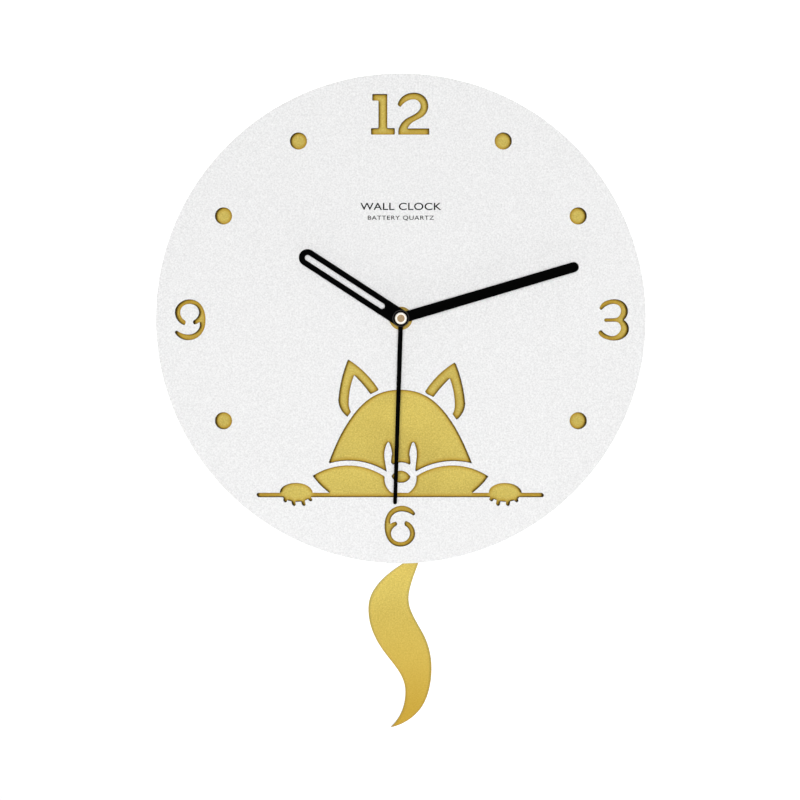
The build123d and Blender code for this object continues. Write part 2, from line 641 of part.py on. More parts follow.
def along_coil(x):
    """Plane square to the coil's axis, which runs along X."""
    return Plane(origin=(x, -COIL_DEPTH, COIL_HEIGHT - DIAL_DROP), x_dir=(0, 1, 0), z_dir=(1, 0, 0))


with BuildPart() as stator:
    with BuildSketch(front_plane(STATOR_BACK)):
        with Locations(ROTOR_AXIS):
            Circle(STATOR_RING_RADIUS)
        for middle, size in STATOR_ARMS:
            with Locations(middle):
                Rectangle(*size)
        with Locations(ROTOR_AXIS):
            Circle(ROTOR_MAGNET_RADIUS + ROTOR_GAP, mode=Mode.SUBTRACT)
    extrude(amount=STATOR_THICKNESS)
finish(stator, "stator")

with BuildPart() as coil_core:
    bar((CORE_LEFT, CORE_LOW), (CORE_RIGHT, CORE_HIGH), CORE_BACK, CORE_BACK + CORE_THICKNESS)
finish(coil_core, "coil_core")

with BuildPart() as coil_bobbin:
    for start, length, radius in (
        (COIL_LEFT, COIL_RIGHT - COIL_LEFT, SLEEVE_RADIUS),
        (COIL_LEFT - FLANGE_THICKNESS, FLANGE_THICKNESS, FLANGE_RADIUS),
        (COIL_RIGHT, FLANGE_THICKNESS, FLANGE_RADIUS),
    ):
        with BuildSketch(along_coil(start)):
            Circle(radius)
        extrude(amount=length)
    bar(
        (CORE_LEFT, CORE_LOW), (CORE_RIGHT, CORE_HIGH),
        CORE_BACK, CORE_BACK + CORE_THICKNESS, mode=Mode.SUBTRACT,
    )
finish(coil_bobbin, "coil_bobbin")

with BuildPart() as motor_coil:
    with BuildSketch(along_coil(COIL_LEFT)):
        Circle(COIL_RADIUS)
        Circle(SLEEVE_RADIUS, mode=Mode.SUBTRACT)
    extrude(amount=COIL_RIGHT - COIL_LEFT)
finish(motor_coil, "motor_coil")

CIRCUIT_BACK, CIRCUIT_THICKNESS = 13.4, 1.0
with BuildPart() as circuit_board:
    bar((-27.0, -28.4), (27.0, -17.6), CIRCUIT_BACK, CIRCUIT_BACK + CIRCUIT_THICKNESS)
finish(circuit_board, "circuit_board")

CHIP_CENTRE = (-14.0, -23.0)
CHIP_HEIGHT, CHIP_RADIUS, CHIP_TOP_RADIUS = 1.0, 3.0, 2.0
with BuildPart() as clock_chip:
    with BuildSketch(front_plane(CIRCUIT_BACK - CHIP_HEIGHT, CHIP_CENTRE)) as small_end:
        Circle(CHIP_TOP_RADIUS)
    with BuildSketch(front_plane(CIRCUIT_BACK, CHIP_CENTRE)) as large_end:
        Circle(CHIP_RADIUS)
    loft([small_end.sketch, large_end.sketch])
finish(clock_chip, "clock_chip")

CRYSTAL_START, CRYSTAL_LENGTH, CRYSTAL_HEIGHT = -26.0, 6.0, -25.5
CRYSTAL_RADIUS, CRYSTAL_ROUNDING = 1.0, 0.3
with BuildPart() as quartz_crystal:
    crystal_end = (CRYSTAL_START, CRYSTAL_RADIUS - CIRCUIT_BACK, CRYSTAL_HEIGHT - DIAL_DROP)
    with BuildSketch(Plane(origin=crystal_end, z_dir=(1, 0, 0))):
        Circle(CRYSTAL_RADIUS)
    extrude(amount=CRYSTAL_LENGTH)
    far_rim = quartz_crystal.edges().filter_by(GeomType.CIRCLE).group_by(Axis.X)[-1]
    fillet(far_rim, CRYSTAL_ROUNDING)
finish(quartz_crystal, "quartz_crystal")

CONTACT_THICKNESS = 0.4
CONTACT_HALF = 5.0
CONTACT_GAP = 0.3
with BuildPart() as battery_contact_positive:
    right = CELL_RIGHT + CONTACT_GAP
    bar(
        (right, BAY_MIDDLE - CONTACT_HALF), (right + CONTACT_THICKNESS, BAY_MIDDLE + CONTACT_HALF),
        CELL_DEPTH - CONTACT_HALF, CELL_DEPTH + CONTACT_HALF,
    )
finish(battery_contact_positive, "battery_contact_positive")

SPRING_WIRE, SPRING_PITCH, SPRING_LENGTH, SPRING_RADIUS = 0.25, 0.9, 2.5, 4.2
SPRING_CONE = -30.0  # half angle: the spring narrows towards the cell
with BuildPart() as battery_contact_negative:
    left = -CASE_WIDTH / 2 + WALL
    bar(
        (left, BAY_MIDDLE - CONTACT_HALF), (left + CONTACT_THICKNESS, BAY_MIDDLE + CONTACT_HALF),
        CELL_DEPTH - CONTACT_HALF, CELL_DEPTH + CONTACT_HALF,
    )
    spring_start = (left + CONTACT_THICKNESS, -CELL_DEPTH, BAY_MIDDLE - DIAL_DROP)
    with BuildLine():
        turns = Helix(
            SPRING_PITCH, SPRING_LENGTH, SPRING_RADIUS,
            center=spring_start, direction=(1, 0, 0), cone_angle=SPRING_CONE,
        )
    with BuildSketch(Plane(origin=turns @ 0, z_dir=turns % 0)):
        Circle(SPRING_WIRE)
    sweep(path=turns, is_frenet=True)
finish(battery_contact_negative, "battery_contact_negative")

TERMINAL_RADIUS, TERMINAL_LENGTH, CAN_ROUNDING = 2.6, 1.3, 0.6
with BuildPart() as battery:
    cell_axis = (-CELL_DEPTH, BAY_MIDDLE - DIAL_DROP)
    for start, length, radius in (
        (CELL_RIGHT - CELL_LENGTH, CELL_LENGTH - TERMINAL_LENGTH, CELL_RADIUS),
        (CELL_RIGHT - TERMINAL_LENGTH, TERMINAL_LENGTH, TERMINAL_RADIUS),
    ):
        with BuildSketch(Plane(origin=(start, *cell_axis), z_dir=(1, 0, 0))):
            Circle(radius)
        extrude(amount=length)
    can_rims = battery.edges().filter_by(lambda e: e.is_closed and e.radius > 2 * TERMINAL_RADIUS)
    fillet(can_rims, CAN_ROUNDING)
finish(battery, "battery")

# ---------------------------------------------------------------- gear train
THIRD_PHASE = THIRD_AT + 180  # a pinion tooth points at the dial's centre
SECONDS_PHASE = meshed_phase(THIRD_PHASE, THIRD_PINION_TEETH, SECONDS_TEETH, THIRD_AT + 180)
ROTOR_PHASE = meshed_phase(ROTOR_AT, THIRD_TEETH, ROTOR_TEETH, ROTOR_AT)
TRANSFER_PHASE = meshed_phase(TRANSFER_AT, SECONDS_PINION_TEETH, TRANSFER_TEETH, TRANSFER_AT)
CENTRE_PHASE = meshed_phase(TRANSFER_AT, TRANSFER_PINION_TEETH, CENTRE_TEETH, TRANSFER_AT + 180)
REVERSING_PHASE = meshed_phase(REVERSING_AT, CANNON_TEETH, REVERSING_TEETH, REVERSING_AT)
SETTING_PHASE = meshed_phase(REVERSING_PHASE, REVERSING_TEETH, CANNON_TEETH, SETTING_AT)
HOUR_PHASE = meshed_phase(REVERSING_AT, REVERSING_PINION_TEETH, HOUR_TEETH, REVERSING_AT + 180)

ROTOR_MAGNET_BACK, ROTOR_MAGNET_FRONT = 6.4, 9.6
ROTOR_PINION_BACK, ROTOR_PINION_FRONT = 4.2, 5.8
with BuildPart() as rotor_magnet:
    disc(
        ROTOR_MAGNET_RADIUS, ROTOR_MAGNET_BACK, ROTOR_MAGNET_FRONT, ROTOR_AXIS, bore=HUB_RADIUS
    )
finish(rotor_magnet, "rotor_magnet")

with BuildPart() as rotor_pinion:
    disc(PIVOT_RADIUS, COVER_FRONT - PIVOT_LENGTH, LAYER_BRIDGE + PIVOT_LENGTH, ROTOR_AXIS)
    disc(HUB_RADIUS, COVER_FRONT + END_PLAY, LAYER_BRIDGE - END_PLAY, ROTOR_AXIS)
    gear(
        ROTOR_TEETH, ROTOR_MODULE, THIRD_TEETH, ROTOR_PHASE,
        ROTOR_PINION_BACK, ROTOR_PINION_FRONT, ROTOR_AXIS, addendum=PINION_ADDENDUM,
    )
finish(rotor_pinion, "rotor_pinion")

with BuildPart() as third_wheel:
    gear(
        THIRD_TEETH, ROTOR_MODULE, ROTOR_TEETH, ROTOR_AT,
        LAYER_THIRD, LAYER_THIRD + WHEEL_THICKNESS, THIRD_AXIS,
    )
    windows(*THIRD_WINDOWS, LAYER_THIRD, LAYER_THIRD + WHEEL_THICKNESS, THIRD_AXIS)
    gear(
        THIRD_PINION_TEETH, SECONDS_MODULE, SECONDS_TEETH, THIRD_PHASE,
        LAYER_THIRD + WHEEL_THICKNESS, LAYER_SECONDS + WHEEL_THICKNESS, THIRD_AXIS,
        addendum=PINION_ADDENDUM,
    )
    disc(PIVOT_RADIUS, COVER_FRONT - PIVOT_LENGTH, LAYER_BRIDGE + PIVOT_LENGTH, THIRD_AXIS)
    disc(HUB_RADIUS, COVER_FRONT + END_PLAY, LAYER_BRIDGE - END_PLAY, THIRD_AXIS)
finish(third_wheel, "third_wheel")

with BuildPart() as seconds_wheel:
    gear(
        SECONDS_TEETH, SECONDS_MODULE, THIRD_PINION_TEETH, SECONDS_PHASE,
        LAYER_SECONDS, LAYER_SECONDS + WHEEL_THICKNESS,
    )
    windows(*SECONDS_WINDOWS, LAYER_SECONDS, LAYER_SECONDS + WHEEL_THICKNESS)
    gear(
        SECONDS_PINION_TEETH, TRANSFER_MODULE, TRANSFER_TEETH, TRANSFER_AT,
        LAYER_SECONDS + WHEEL_THICKNESS, LAYER_TRANSFER + WHEEL_THICKNESS, addendum=PINION_ADDENDUM,
    )
    disc(HUB_RADIUS, COVER_FRONT + END_PLAY, LAYER_SECONDS)
    disc(
        SECONDS_ARBOR_RADIUS, COVER_FRONT, LAYER_TRANSFER + WHEEL_THICKNESS, mode=Mode.SUBTRACT
    )
finish(seconds_wheel, "seconds_wheel")

SOCKET_FRONT = 39.4
SOCKET_WALL = 0.8
SECONDS_SHOULDER = COVER_FRONT + END_PLAY
with BuildPart() as seconds_arbor:
    disc(PIVOT_RADIUS, COVER_FRONT - PIVOT_LENGTH, SECONDS_SHOULDER)
    disc(SECONDS_ARBOR_RADIUS, SECONDS_SHOULDER, SOCKET_FRONT - SOCKET_WALL)
finish(seconds_arbor, "seconds_arbor")

with BuildPart() as transfer_wheel:
    gear(
        TRANSFER_TEETH, TRANSFER_MODULE, SECONDS_PINION_TEETH, TRANSFER_PHASE,
        LAYER_TRANSFER, LAYER_TRANSFER + WHEEL_THICKNESS, TRANSFER_AXIS,
    )
    windows(*TRANSFER_WINDOWS, LAYER_TRANSFER, LAYER_TRANSFER + WHEEL_THICKNESS, TRANSFER_AXIS)
    gear(
        TRANSFER_PINION_TEETH, CENTRE_MODULE, CENTRE_TEETH, TRANSFER_AT,
        LAYER_TRANSFER + WHEEL_THICKNESS, LAYER_CENTRE + CENTRE_WHEEL_THICKNESS, TRANSFER_AXIS,
        addendum=PINION_ADDENDUM,
    )
    disc(HUB_RADIUS, COVER_FRONT + END_PLAY, CASE_FLOOR - END_PLAY, TRANSFER_AXIS)
    disc(PIVOT_RADIUS, COVER_FRONT - PIVOT_LENGTH, CASE_FLOOR + PIVOT_LENGTH, TRANSFER_AXIS)
finish(transfer_wheel, "transfer_wheel")

CLUTCH_BACK = LAYER_CENTRE + CENTRE_WHEEL_THICKNESS
with BuildPart() as centre_wheel:
    gear(
        CENTRE_TEETH, CENTRE_MODULE, TRANSFER_PINION_TEETH, CENTRE_PHASE,
        LAYER_CENTRE, LAYER_CENTRE + CENTRE_WHEEL_THICKNESS,
    )
    windows(*CENTRE_WINDOWS, LAYER_CENTRE, LAYER_CENTRE + CENTRE_WHEEL_THICKNESS)
    disc(MINUTE_TUBE_RADIUS, LAYER_CENTRE, CLUTCH_BACK, mode=Mode.SUBTRACT)
finish(centre_wheel, "centre_wheel")

CLUTCH_RADIUS, CLUTCH_THICKNESS = 2.6, 0.2
CLUTCH_ARMS, CLUTCH_ARM_LENGTH, CLUTCH_ARM_WIDTH = 3, 3.6, 1.6
with BuildPart() as clutch_spring:
    with BuildSketch(front_plane(CLUTCH_BACK)):
        Circle(CLUTCH_RADIUS)
        with PolarLocations(CLUTCH_RADIUS, CLUTCH_ARMS):
            SlotOverall(CLUTCH_ARM_LENGTH, CLUTCH_ARM_WIDTH)
        Circle(MINUTE_TUBE_RADIUS, mode=Mode.SUBTRACT)
    extrude(amount=CLUTCH_THICKNESS)
finish(clutch_spring, "clutch_spring")

MINUTE_TUBE_FRONT = 36.4
CANNON_SHOULDER_RADIUS = 2.1
with BuildPart() as centre_arbor:
    disc(MINUTE_TUBE_RADIUS, LAYER_BRIDGE, MINUTE_TUBE_FRONT)
    disc(CANNON_SHOULDER_RADIUS, CLUTCH_BACK + CLUTCH_THICKNESS, LAYER_MOTION)
    gear(
        CANNON_TEETH, CANNON_MODULE, REVERSING_TEETH, REVERSING_AT,
        LAYER_MOTION, LAYER_MOTION + MOTION_THICKNESS, addendum=PINION_ADDENDUM,
    )
    disc(MINUTE_TUBE_BORE, LAYER_BRIDGE, MINUTE_TUBE_FRONT, mode=Mode.SUBTRACT)
finish(centre_arbor, "centre_arbor")

REVERSING_HUB_RADIUS = 1.5
with BuildPart() as reversing_wheel:
    gear(
        REVERSING_TEETH, CANNON_MODULE, CANNON_TEETH, REVERSING_PHASE,
        LAYER_MOTION, LAYER_MOTION + MOTION_THICKNESS, REVERSING_AXIS,
    )
    disc(REVERSING_HUB_RADIUS, LAYER_MOTION + MOTION_THICKNESS, LAYER_HOUR, REVERSING_AXIS)
    gear(
        REVERSING_PINION_TEETH, HOUR_MODULE, HOUR_TEETH, REVERSING_AT,
        LAYER_HOUR, CASE_FLOOR - END_PLAY, REVERSING_AXIS, addendum=PINION_ADDENDUM,
    )
    disc(
        SPIGOT_RADIUS + RUNNING_FIT, LAYER_MOTION, CASE_FLOOR, REVERSING_AXIS, mode=Mode.SUBTRACT
    )
finish(reversing_wheel, "reversing_wheel")

HOUR_TUBE_BACK = LAYER_HOUR - 0.4
HOUR_TUBE_FRONT = 34.0
with BuildPart() as hour_wheel:
    gear(
        HOUR_TEETH, HOUR_MODULE, REVERSING_PINION_TEETH, HOUR_PHASE,
        LAYER_HOUR, LAYER_HOUR + MOTION_THICKNESS,
    )
    disc(HOUR_TUBE_RADIUS, HOUR_TUBE_BACK, HOUR_TUBE_FRONT)
    disc(HOUR_TUBE_BORE, HOUR_TUBE_BACK, HOUR_TUBE_FRONT, mode=Mode.SUBTRACT)
finish(hour_wheel, "hour_wheel")

KNOB_BACK, KNOB_FRONT = CASE_BACK + 0.3, WELL_FLOOR - 0.2
KNOB_NOTCHES, KNOB_NOTCH_RADIUS = 18, 0.4
with BuildPart() as setting_knob:
    disc(KNOB_RADIUS, KNOB_BACK, KNOB_FRONT, SETTING_AXIS)
    with BuildSketch(front_plane(KNOB_BACK, SETTING_AXIS)) as grip_notches:
        with PolarLocations(KNOB_RADIUS, KNOB_NOTCHES):
            Circle(KNOB_NOTCH_RADIUS)
    extrude(grip_notches.sketch, amount=KNOB_FRONT - KNOB_BACK, mode=Mode.SUBTRACT)
    disc(STEM_RADIUS, KNOB_FRONT, CASE_FLOOR - END_PLAY, SETTING_AXIS)
    gear(
        CANNON_TEETH, CANNON_MODULE, REVERSING_TEETH, SETTING_PHASE,
        LAYER_MOTION, LAYER_MOTION + MOTION_THICKNESS, SETTING_AXIS, addendum=PINION_ADDENDUM,
    )
    disc(SPIGOT_RADIUS, CASE_FLOOR - END_PLAY, CASE_FLOOR + PIVOT_LENGTH, SETTING_AXIS)
finish(setting_knob, "setting_knob")

# ---------------------------------------------------------------- hands
HOUR_HAND_LENGTH = 73.2
HOUR_HAND_WIDTH = 10.4
HOUR_SLOT_START, HOUR_SLOT_END, HOUR_SLOT_WIDTH = 12.0, 69.6, 3.5
MINUTE_HAND_LENGTH, MINUTE_HAND_AT_HUB, MINUTE_HAND_AT_TIP = 113.0, 6.6, 6.2
SECOND_HAND_LENGTH, SECOND_HAND_AT_HUB, SECOND_HAND_AT_TIP = 113.3, 2.9, 2.3
SECOND_HAND_DISC_RADIUS = BOSS_RADIUS - 0.6
COLLET_LENGTH, HOUR_COLLET_RADIUS, MINUTE_COLLET_RADIUS = 0.8, 3.6, 3.0


def hand_plane(depth, clockwise):
    """Plane parallel to the wall whose local x points along a hand."""
    turn = radians(90 - clockwise)
    return Plane(
        origin=(0, -depth, -DIAL_DROP), x_dir=(cos(turn), 0, sin(turn)), z_dir=(0, -1, 0)
    )


def tapered_hand(length, width_at_hub, width_at_tip):
    """A slim straight hand with a rounded tip, in the current sketch."""
    with BuildLine() as outline:
        reach = length - width_at_tip / 2
        Polyline((reach, width_at_tip / 2), (0, width_at_hub / 2), (0, -width_at_hub / 2),
                 (reach, -width_at_tip / 2))
        ThreePointArc((reach, -width_at_tip / 2), (length, 0), (reach, width_at_tip / 2))
    make_face(outline.edges())


with BuildPart() as hour_hand:
    with BuildSketch(hand_plane(HOUR_HAND_BACK, HOUR_CLOCKWISE)):
        with Locations(((HOUR_HAND_LENGTH - HOUR_HAND_WIDTH / 2) / 2, 0)):
            SlotOverall(HOUR_HAND_LENGTH + HOUR_HAND_WIDTH / 2, HOUR_HAND_WIDTH)
        with Locations(((HOUR_SLOT_START + HOUR_SLOT_END) / 2, 0)):
            SlotOverall(HOUR_SLOT_END - HOUR_SLOT_START, HOUR_SLOT_WIDTH, mode=Mode.SUBTRACT)
        Circle(HOUR_TUBE_RADIUS, mode=Mode.SUBTRACT)
    extrude(amount=HAND_THICKNESS)
finish(hour_hand, "hour_hand")

with BuildPart() as hour_hand_collet:
    disc(
        HOUR_COLLET_RADIUS, HOUR_HAND_BACK - COLLET_LENGTH, HOUR_HAND_BACK, bore=HOUR_TUBE_RADIUS
    )
finish(hour_hand_collet, "hour_hand_collet")

with BuildPart() as minute_hand:
    with BuildSketch(hand_plane(MINUTE_HAND_BACK, MINUTE_CLOCKWISE)):
        tapered_hand(MINUTE_HAND_LENGTH, MINUTE_HAND_AT_HUB, MINUTE_HAND_AT_TIP)
        Circle(BOSS_RADIUS)
        Circle(MINUTE_TUBE_RADIUS, mode=Mode.SUBTRACT)
    extrude(amount=HAND_THICKNESS)
finish(minute_hand, "minute_hand")

with BuildPart() as minute_hand_collet:
    disc(
        MINUTE_COLLET_RADIUS, MINUTE_HAND_BACK - COLLET_LENGTH, MINUTE_HAND_BACK,
        bore=MINUTE_TUBE_RADIUS,
    )
finish(minute_hand_collet, "minute_hand_collet")

SOCKET_BACK = SECOND_HAND_BACK - 0.8
SOCKET_STEM_RADIUS, SOCKET_HEAD_RADIUS, SOCKET_ROUNDING = 1.4, 3.6, 0.7
DIMPLE_RADIUS, DIMPLE_DEPTH = 2.3, 0.3
BOSS_BACK = SECOND_HAND_BACK + SECOND_HAND_THICKNESS
BOSS_THICKNESS, BOSS_CHAMFER = 0.4, 0.25
BOSS_FRONT = BOSS_BACK + BOSS_THICKNESS
with BuildPart() as second_hand:
    with BuildSketch(hand_plane(SECOND_HAND_BACK, SECOND_CLOCKWISE)):
        tapered_hand(SECOND_HAND_LENGTH, SECOND_HAND_AT_HUB, SECOND_HAND_AT_TIP)
        Circle(SECOND_HAND_DISC_RADIUS)
        Circle(SOCKET_STEM_RADIUS, mode=Mode.SUBTRACT)
    extrude(amount=SECOND_HAND_THICKNESS)
finish(second_hand, "second_hand")

with BuildPart() as second_hand_boss:
    disc(BOSS_RADIUS, BOSS_BACK, BOSS_FRONT, bore=SOCKET_STEM_RADIUS)
    chamfer(second_hand_boss.faces().sort_by(Axis.Y)[0].outer_wire().edges(), BOSS_CHAMFER)
finish(second_hand_boss, "second_hand_boss")

with BuildPart() as second_hand_socket:
    disc(SOCKET_HEAD_RADIUS, BOSS_FRONT, SOCKET_FRONT)
    fillet(second_hand_socket.faces().sort_by(Axis.Y)[0].outer_wire().edges(), SOCKET_ROUNDING)
    disc(DIMPLE_RADIUS, SOCKET_FRONT - DIMPLE_DEPTH, SOCKET_FRONT, mode=Mode.SUBTRACT)
    disc(SOCKET_STEM_RADIUS, SOCKET_BACK, BOSS_FRONT)
    disc(SECONDS_ARBOR_RADIUS, SOCKET_BACK, SOCKET_FRONT - SOCKET_WALL, mode=Mode.SUBTRACT)
finish(second_hand_socket, "second_hand_socket")

# ---------------------------------------------------------------- pendulum drive
with BuildPart() as pendulum_pivot_pin:
    disc(PIN_RADIUS, COVER_FRONT, CASE_FLOOR, (0, PIVOT_DROP))
finish(pendulum_pivot_pin, "pendulum_pivot_pin")

DRIVE_BOARD_BACK = CASE_FLOOR - CIRCUIT_THICKNESS
with BuildPart() as pendulum_circuit_board:
    bar((-18.0, -80.0), (18.0, -60.0), DRIVE_BOARD_BACK, CASE_FLOOR)
finish(pendulum_circuit_board, "pendulum_circuit_board")

DRIVE_COIL_RADIUS, DRIVE_COIL_BORE = 7.0, 2.5
with BuildPart() as pendulum_coil:
    disc(
        DRIVE_COIL_RADIUS, LEVER_FRONT + DRIVE_GAP, DRIVE_BOARD_BACK, (0, MAGNET_DROP),
        bore=DRIVE_COIL_BORE,
    )
finish(pendulum_coil, "pendulum_coil")

STRIP_WIDTH = 6.0  # of the lever and of the steel strip
MAGNET_RADIUS, MAGNET_LENGTH, MAGNET_SEAT_RADIUS = 4.4, 3.0, 5.4
LEVER_HUB_RADIUS, LEVER_HUB_HEIGHT = 3.2, 1.2
HOOK_PEG_RADIUS, HOOK_HEAD_RADIUS = 1.4, 1.9
HOOK_HEAD_BACK = LEVER_FRONT + STRIP_THICKNESS + 0.1
HOOK_HEAD_FRONT = HOOK_HEAD_BACK + 0.7
with BuildPart() as pendulum_lever:
    with BuildSketch(front_plane(LEVER_BACK)):
        with Locations((0, (PIVOT_DROP + HOOK_DROP) / 2)):
            SlotOverall(PIVOT_DROP - HOOK_DROP + STRIP_WIDTH, STRIP_WIDTH, rotation=90)
        with Locations((0, MAGNET_DROP)):
            Circle(MAGNET_SEAT_RADIUS)
    extrude(amount=LEVER_THICKNESS)
    hub_back, hub_front = LEVER_BACK - LEVER_HUB_HEIGHT, LEVER_FRONT + LEVER_HUB_HEIGHT
    disc(LEVER_HUB_RADIUS, hub_back, hub_front, (0, PIVOT_DROP))
    disc(PIN_RADIUS + RUNNING_FIT, hub_back, hub_front, (0, PIVOT_DROP), mode=Mode.SUBTRACT)
    disc(HOOK_PEG_RADIUS, LEVER_FRONT, HOOK_HEAD_BACK, (0, HOOK_DROP))
    disc(HOOK_HEAD_RADIUS, HOOK_HEAD_BACK, HOOK_HEAD_FRONT, (0, HOOK_DROP))
finish(pendulum_lever, "pendulum_lever")

with BuildPart() as pendulum_magnet:
    disc(MAGNET_RADIUS, LEVER_FRONT, LEVER_FRONT + MAGNET_LENGTH, (0, MAGNET_DROP))
finish(pendulum_magnet, "pendulum_magnet")

with BuildPart() as pendulum_rod:
    with BuildSketch(front_plane(LEVER_FRONT)):
        with Locations((0, (HOOK_DROP + STRIP_BOTTOM) / 2)):
            SlotOverall(HOOK_DROP - STRIP_BOTTOM + STRIP_WIDTH, STRIP_WIDTH, rotation=90)
        with Locations((0, HOOK_DROP)):
            Circle(HOOK_PEG_RADIUS, mode=Mode.SUBTRACT)
        with Locations(*((0, height) for height in RIVET_HEIGHTS)):
            Circle(RIVET_RADIUS, mode=Mode.SUBTRACT)
    extrude(amount=STRIP_THICKNESS)
finish(pendulum_rod, "pendulum_rod")

with BuildPart() as tail:
    with BuildSketch(front_plane(LEVER_FRONT - TAIL_THICKNESS)):
        with BuildLine():
            # upper left edge, tip and right edge of the S that shows below the dial
            Spline(
                (1.3, -151.4), (-8.0, -158.1), (-15.0, -165.3), (-19.2, -173.3), (-19.8, -183.8),
                (-16.7, -195.0), (-10.4, -205.7), (-3.0, -215.3), (2.0, -224.9), (2.7, -233.4),
                (0.3, -243.3), (-6.2, -252.4),
            )
            Spline(
                (-6.2, -252.4), (4.5, -248.0), (13.2, -239.3), (18.0, -226.1), (18.8, -212.5),
                (15.4, -198.4), (8.1, -184.8), (4.8, -174.7), (6.1, -164.7), (9.5, -154.6),
            )
            # neck and round tab that the steel strip is riveted to, hidden behind the dial
            Spline((9.5, -154.6), (11.2, -145.8), (8.4, -136.0), (0.0, -126.0), (-8.0, -136.0),
                   (-5.0, -145.5), (1.3, -151.4))
        make_face()
        with Locations(*((0, height) for height in RIVET_HEIGHTS)):
            Circle(RIVET_RADIUS, mode=Mode.SUBTRACT)
    extrude(amount=TAIL_THICKNESS)
finish(tail, "tail")

with BuildPart() as tail_rivets:
    tail_back, strip_front = LEVER_FRONT - TAIL_THICKNESS, LEVER_FRONT + STRIP_THICKNESS
    for height in RIVET_HEIGHTS:
        disc(RIVET_HEAD_RADIUS, tail_back - RIVET_HEAD_HEIGHT, tail_back, (0, height))
        disc(RIVET_RADIUS, tail_back, strip_front, (0, height))
        disc(RIVET_HEAD_RADIUS, strip_front, strip_front + RIVET_HEAD_HEIGHT, (0, height))
finish(tail_rivets, "tail_rivets")
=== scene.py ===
"""Looks of the cat tail clock: materials, dial print, dry cell, moulded marks, light and camera."""

import json
from math import cos, pi, radians, sin

import bmesh
import bpy
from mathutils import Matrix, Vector


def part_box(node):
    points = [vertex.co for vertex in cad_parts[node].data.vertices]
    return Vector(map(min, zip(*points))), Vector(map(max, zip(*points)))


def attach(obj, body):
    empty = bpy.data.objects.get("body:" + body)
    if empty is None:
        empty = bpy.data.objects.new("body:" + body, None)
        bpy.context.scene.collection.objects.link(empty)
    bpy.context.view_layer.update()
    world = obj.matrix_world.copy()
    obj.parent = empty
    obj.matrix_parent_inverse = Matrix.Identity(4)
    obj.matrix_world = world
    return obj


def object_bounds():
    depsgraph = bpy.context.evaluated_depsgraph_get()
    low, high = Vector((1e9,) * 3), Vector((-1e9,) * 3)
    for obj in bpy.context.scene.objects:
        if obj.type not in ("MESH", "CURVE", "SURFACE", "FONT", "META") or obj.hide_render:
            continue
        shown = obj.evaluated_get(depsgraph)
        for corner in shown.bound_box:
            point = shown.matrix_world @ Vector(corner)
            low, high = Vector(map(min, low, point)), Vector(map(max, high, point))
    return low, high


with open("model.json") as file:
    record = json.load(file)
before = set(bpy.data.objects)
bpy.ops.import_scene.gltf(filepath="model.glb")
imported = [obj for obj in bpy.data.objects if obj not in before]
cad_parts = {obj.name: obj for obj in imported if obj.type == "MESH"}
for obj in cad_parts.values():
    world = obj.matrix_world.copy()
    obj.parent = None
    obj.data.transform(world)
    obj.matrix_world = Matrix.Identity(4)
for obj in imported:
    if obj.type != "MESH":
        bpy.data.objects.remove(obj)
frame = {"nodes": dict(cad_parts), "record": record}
cad_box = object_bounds()
nodes = frame["nodes"]
MM = 0.001
BODY = "clock_body"

dial_low, dial_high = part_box("front_board")
dial_centre = (dial_low + dial_high) / 2
DIAL_FACE = dial_low.y
DIAL_WIDTH = dial_high.x - dial_low.x


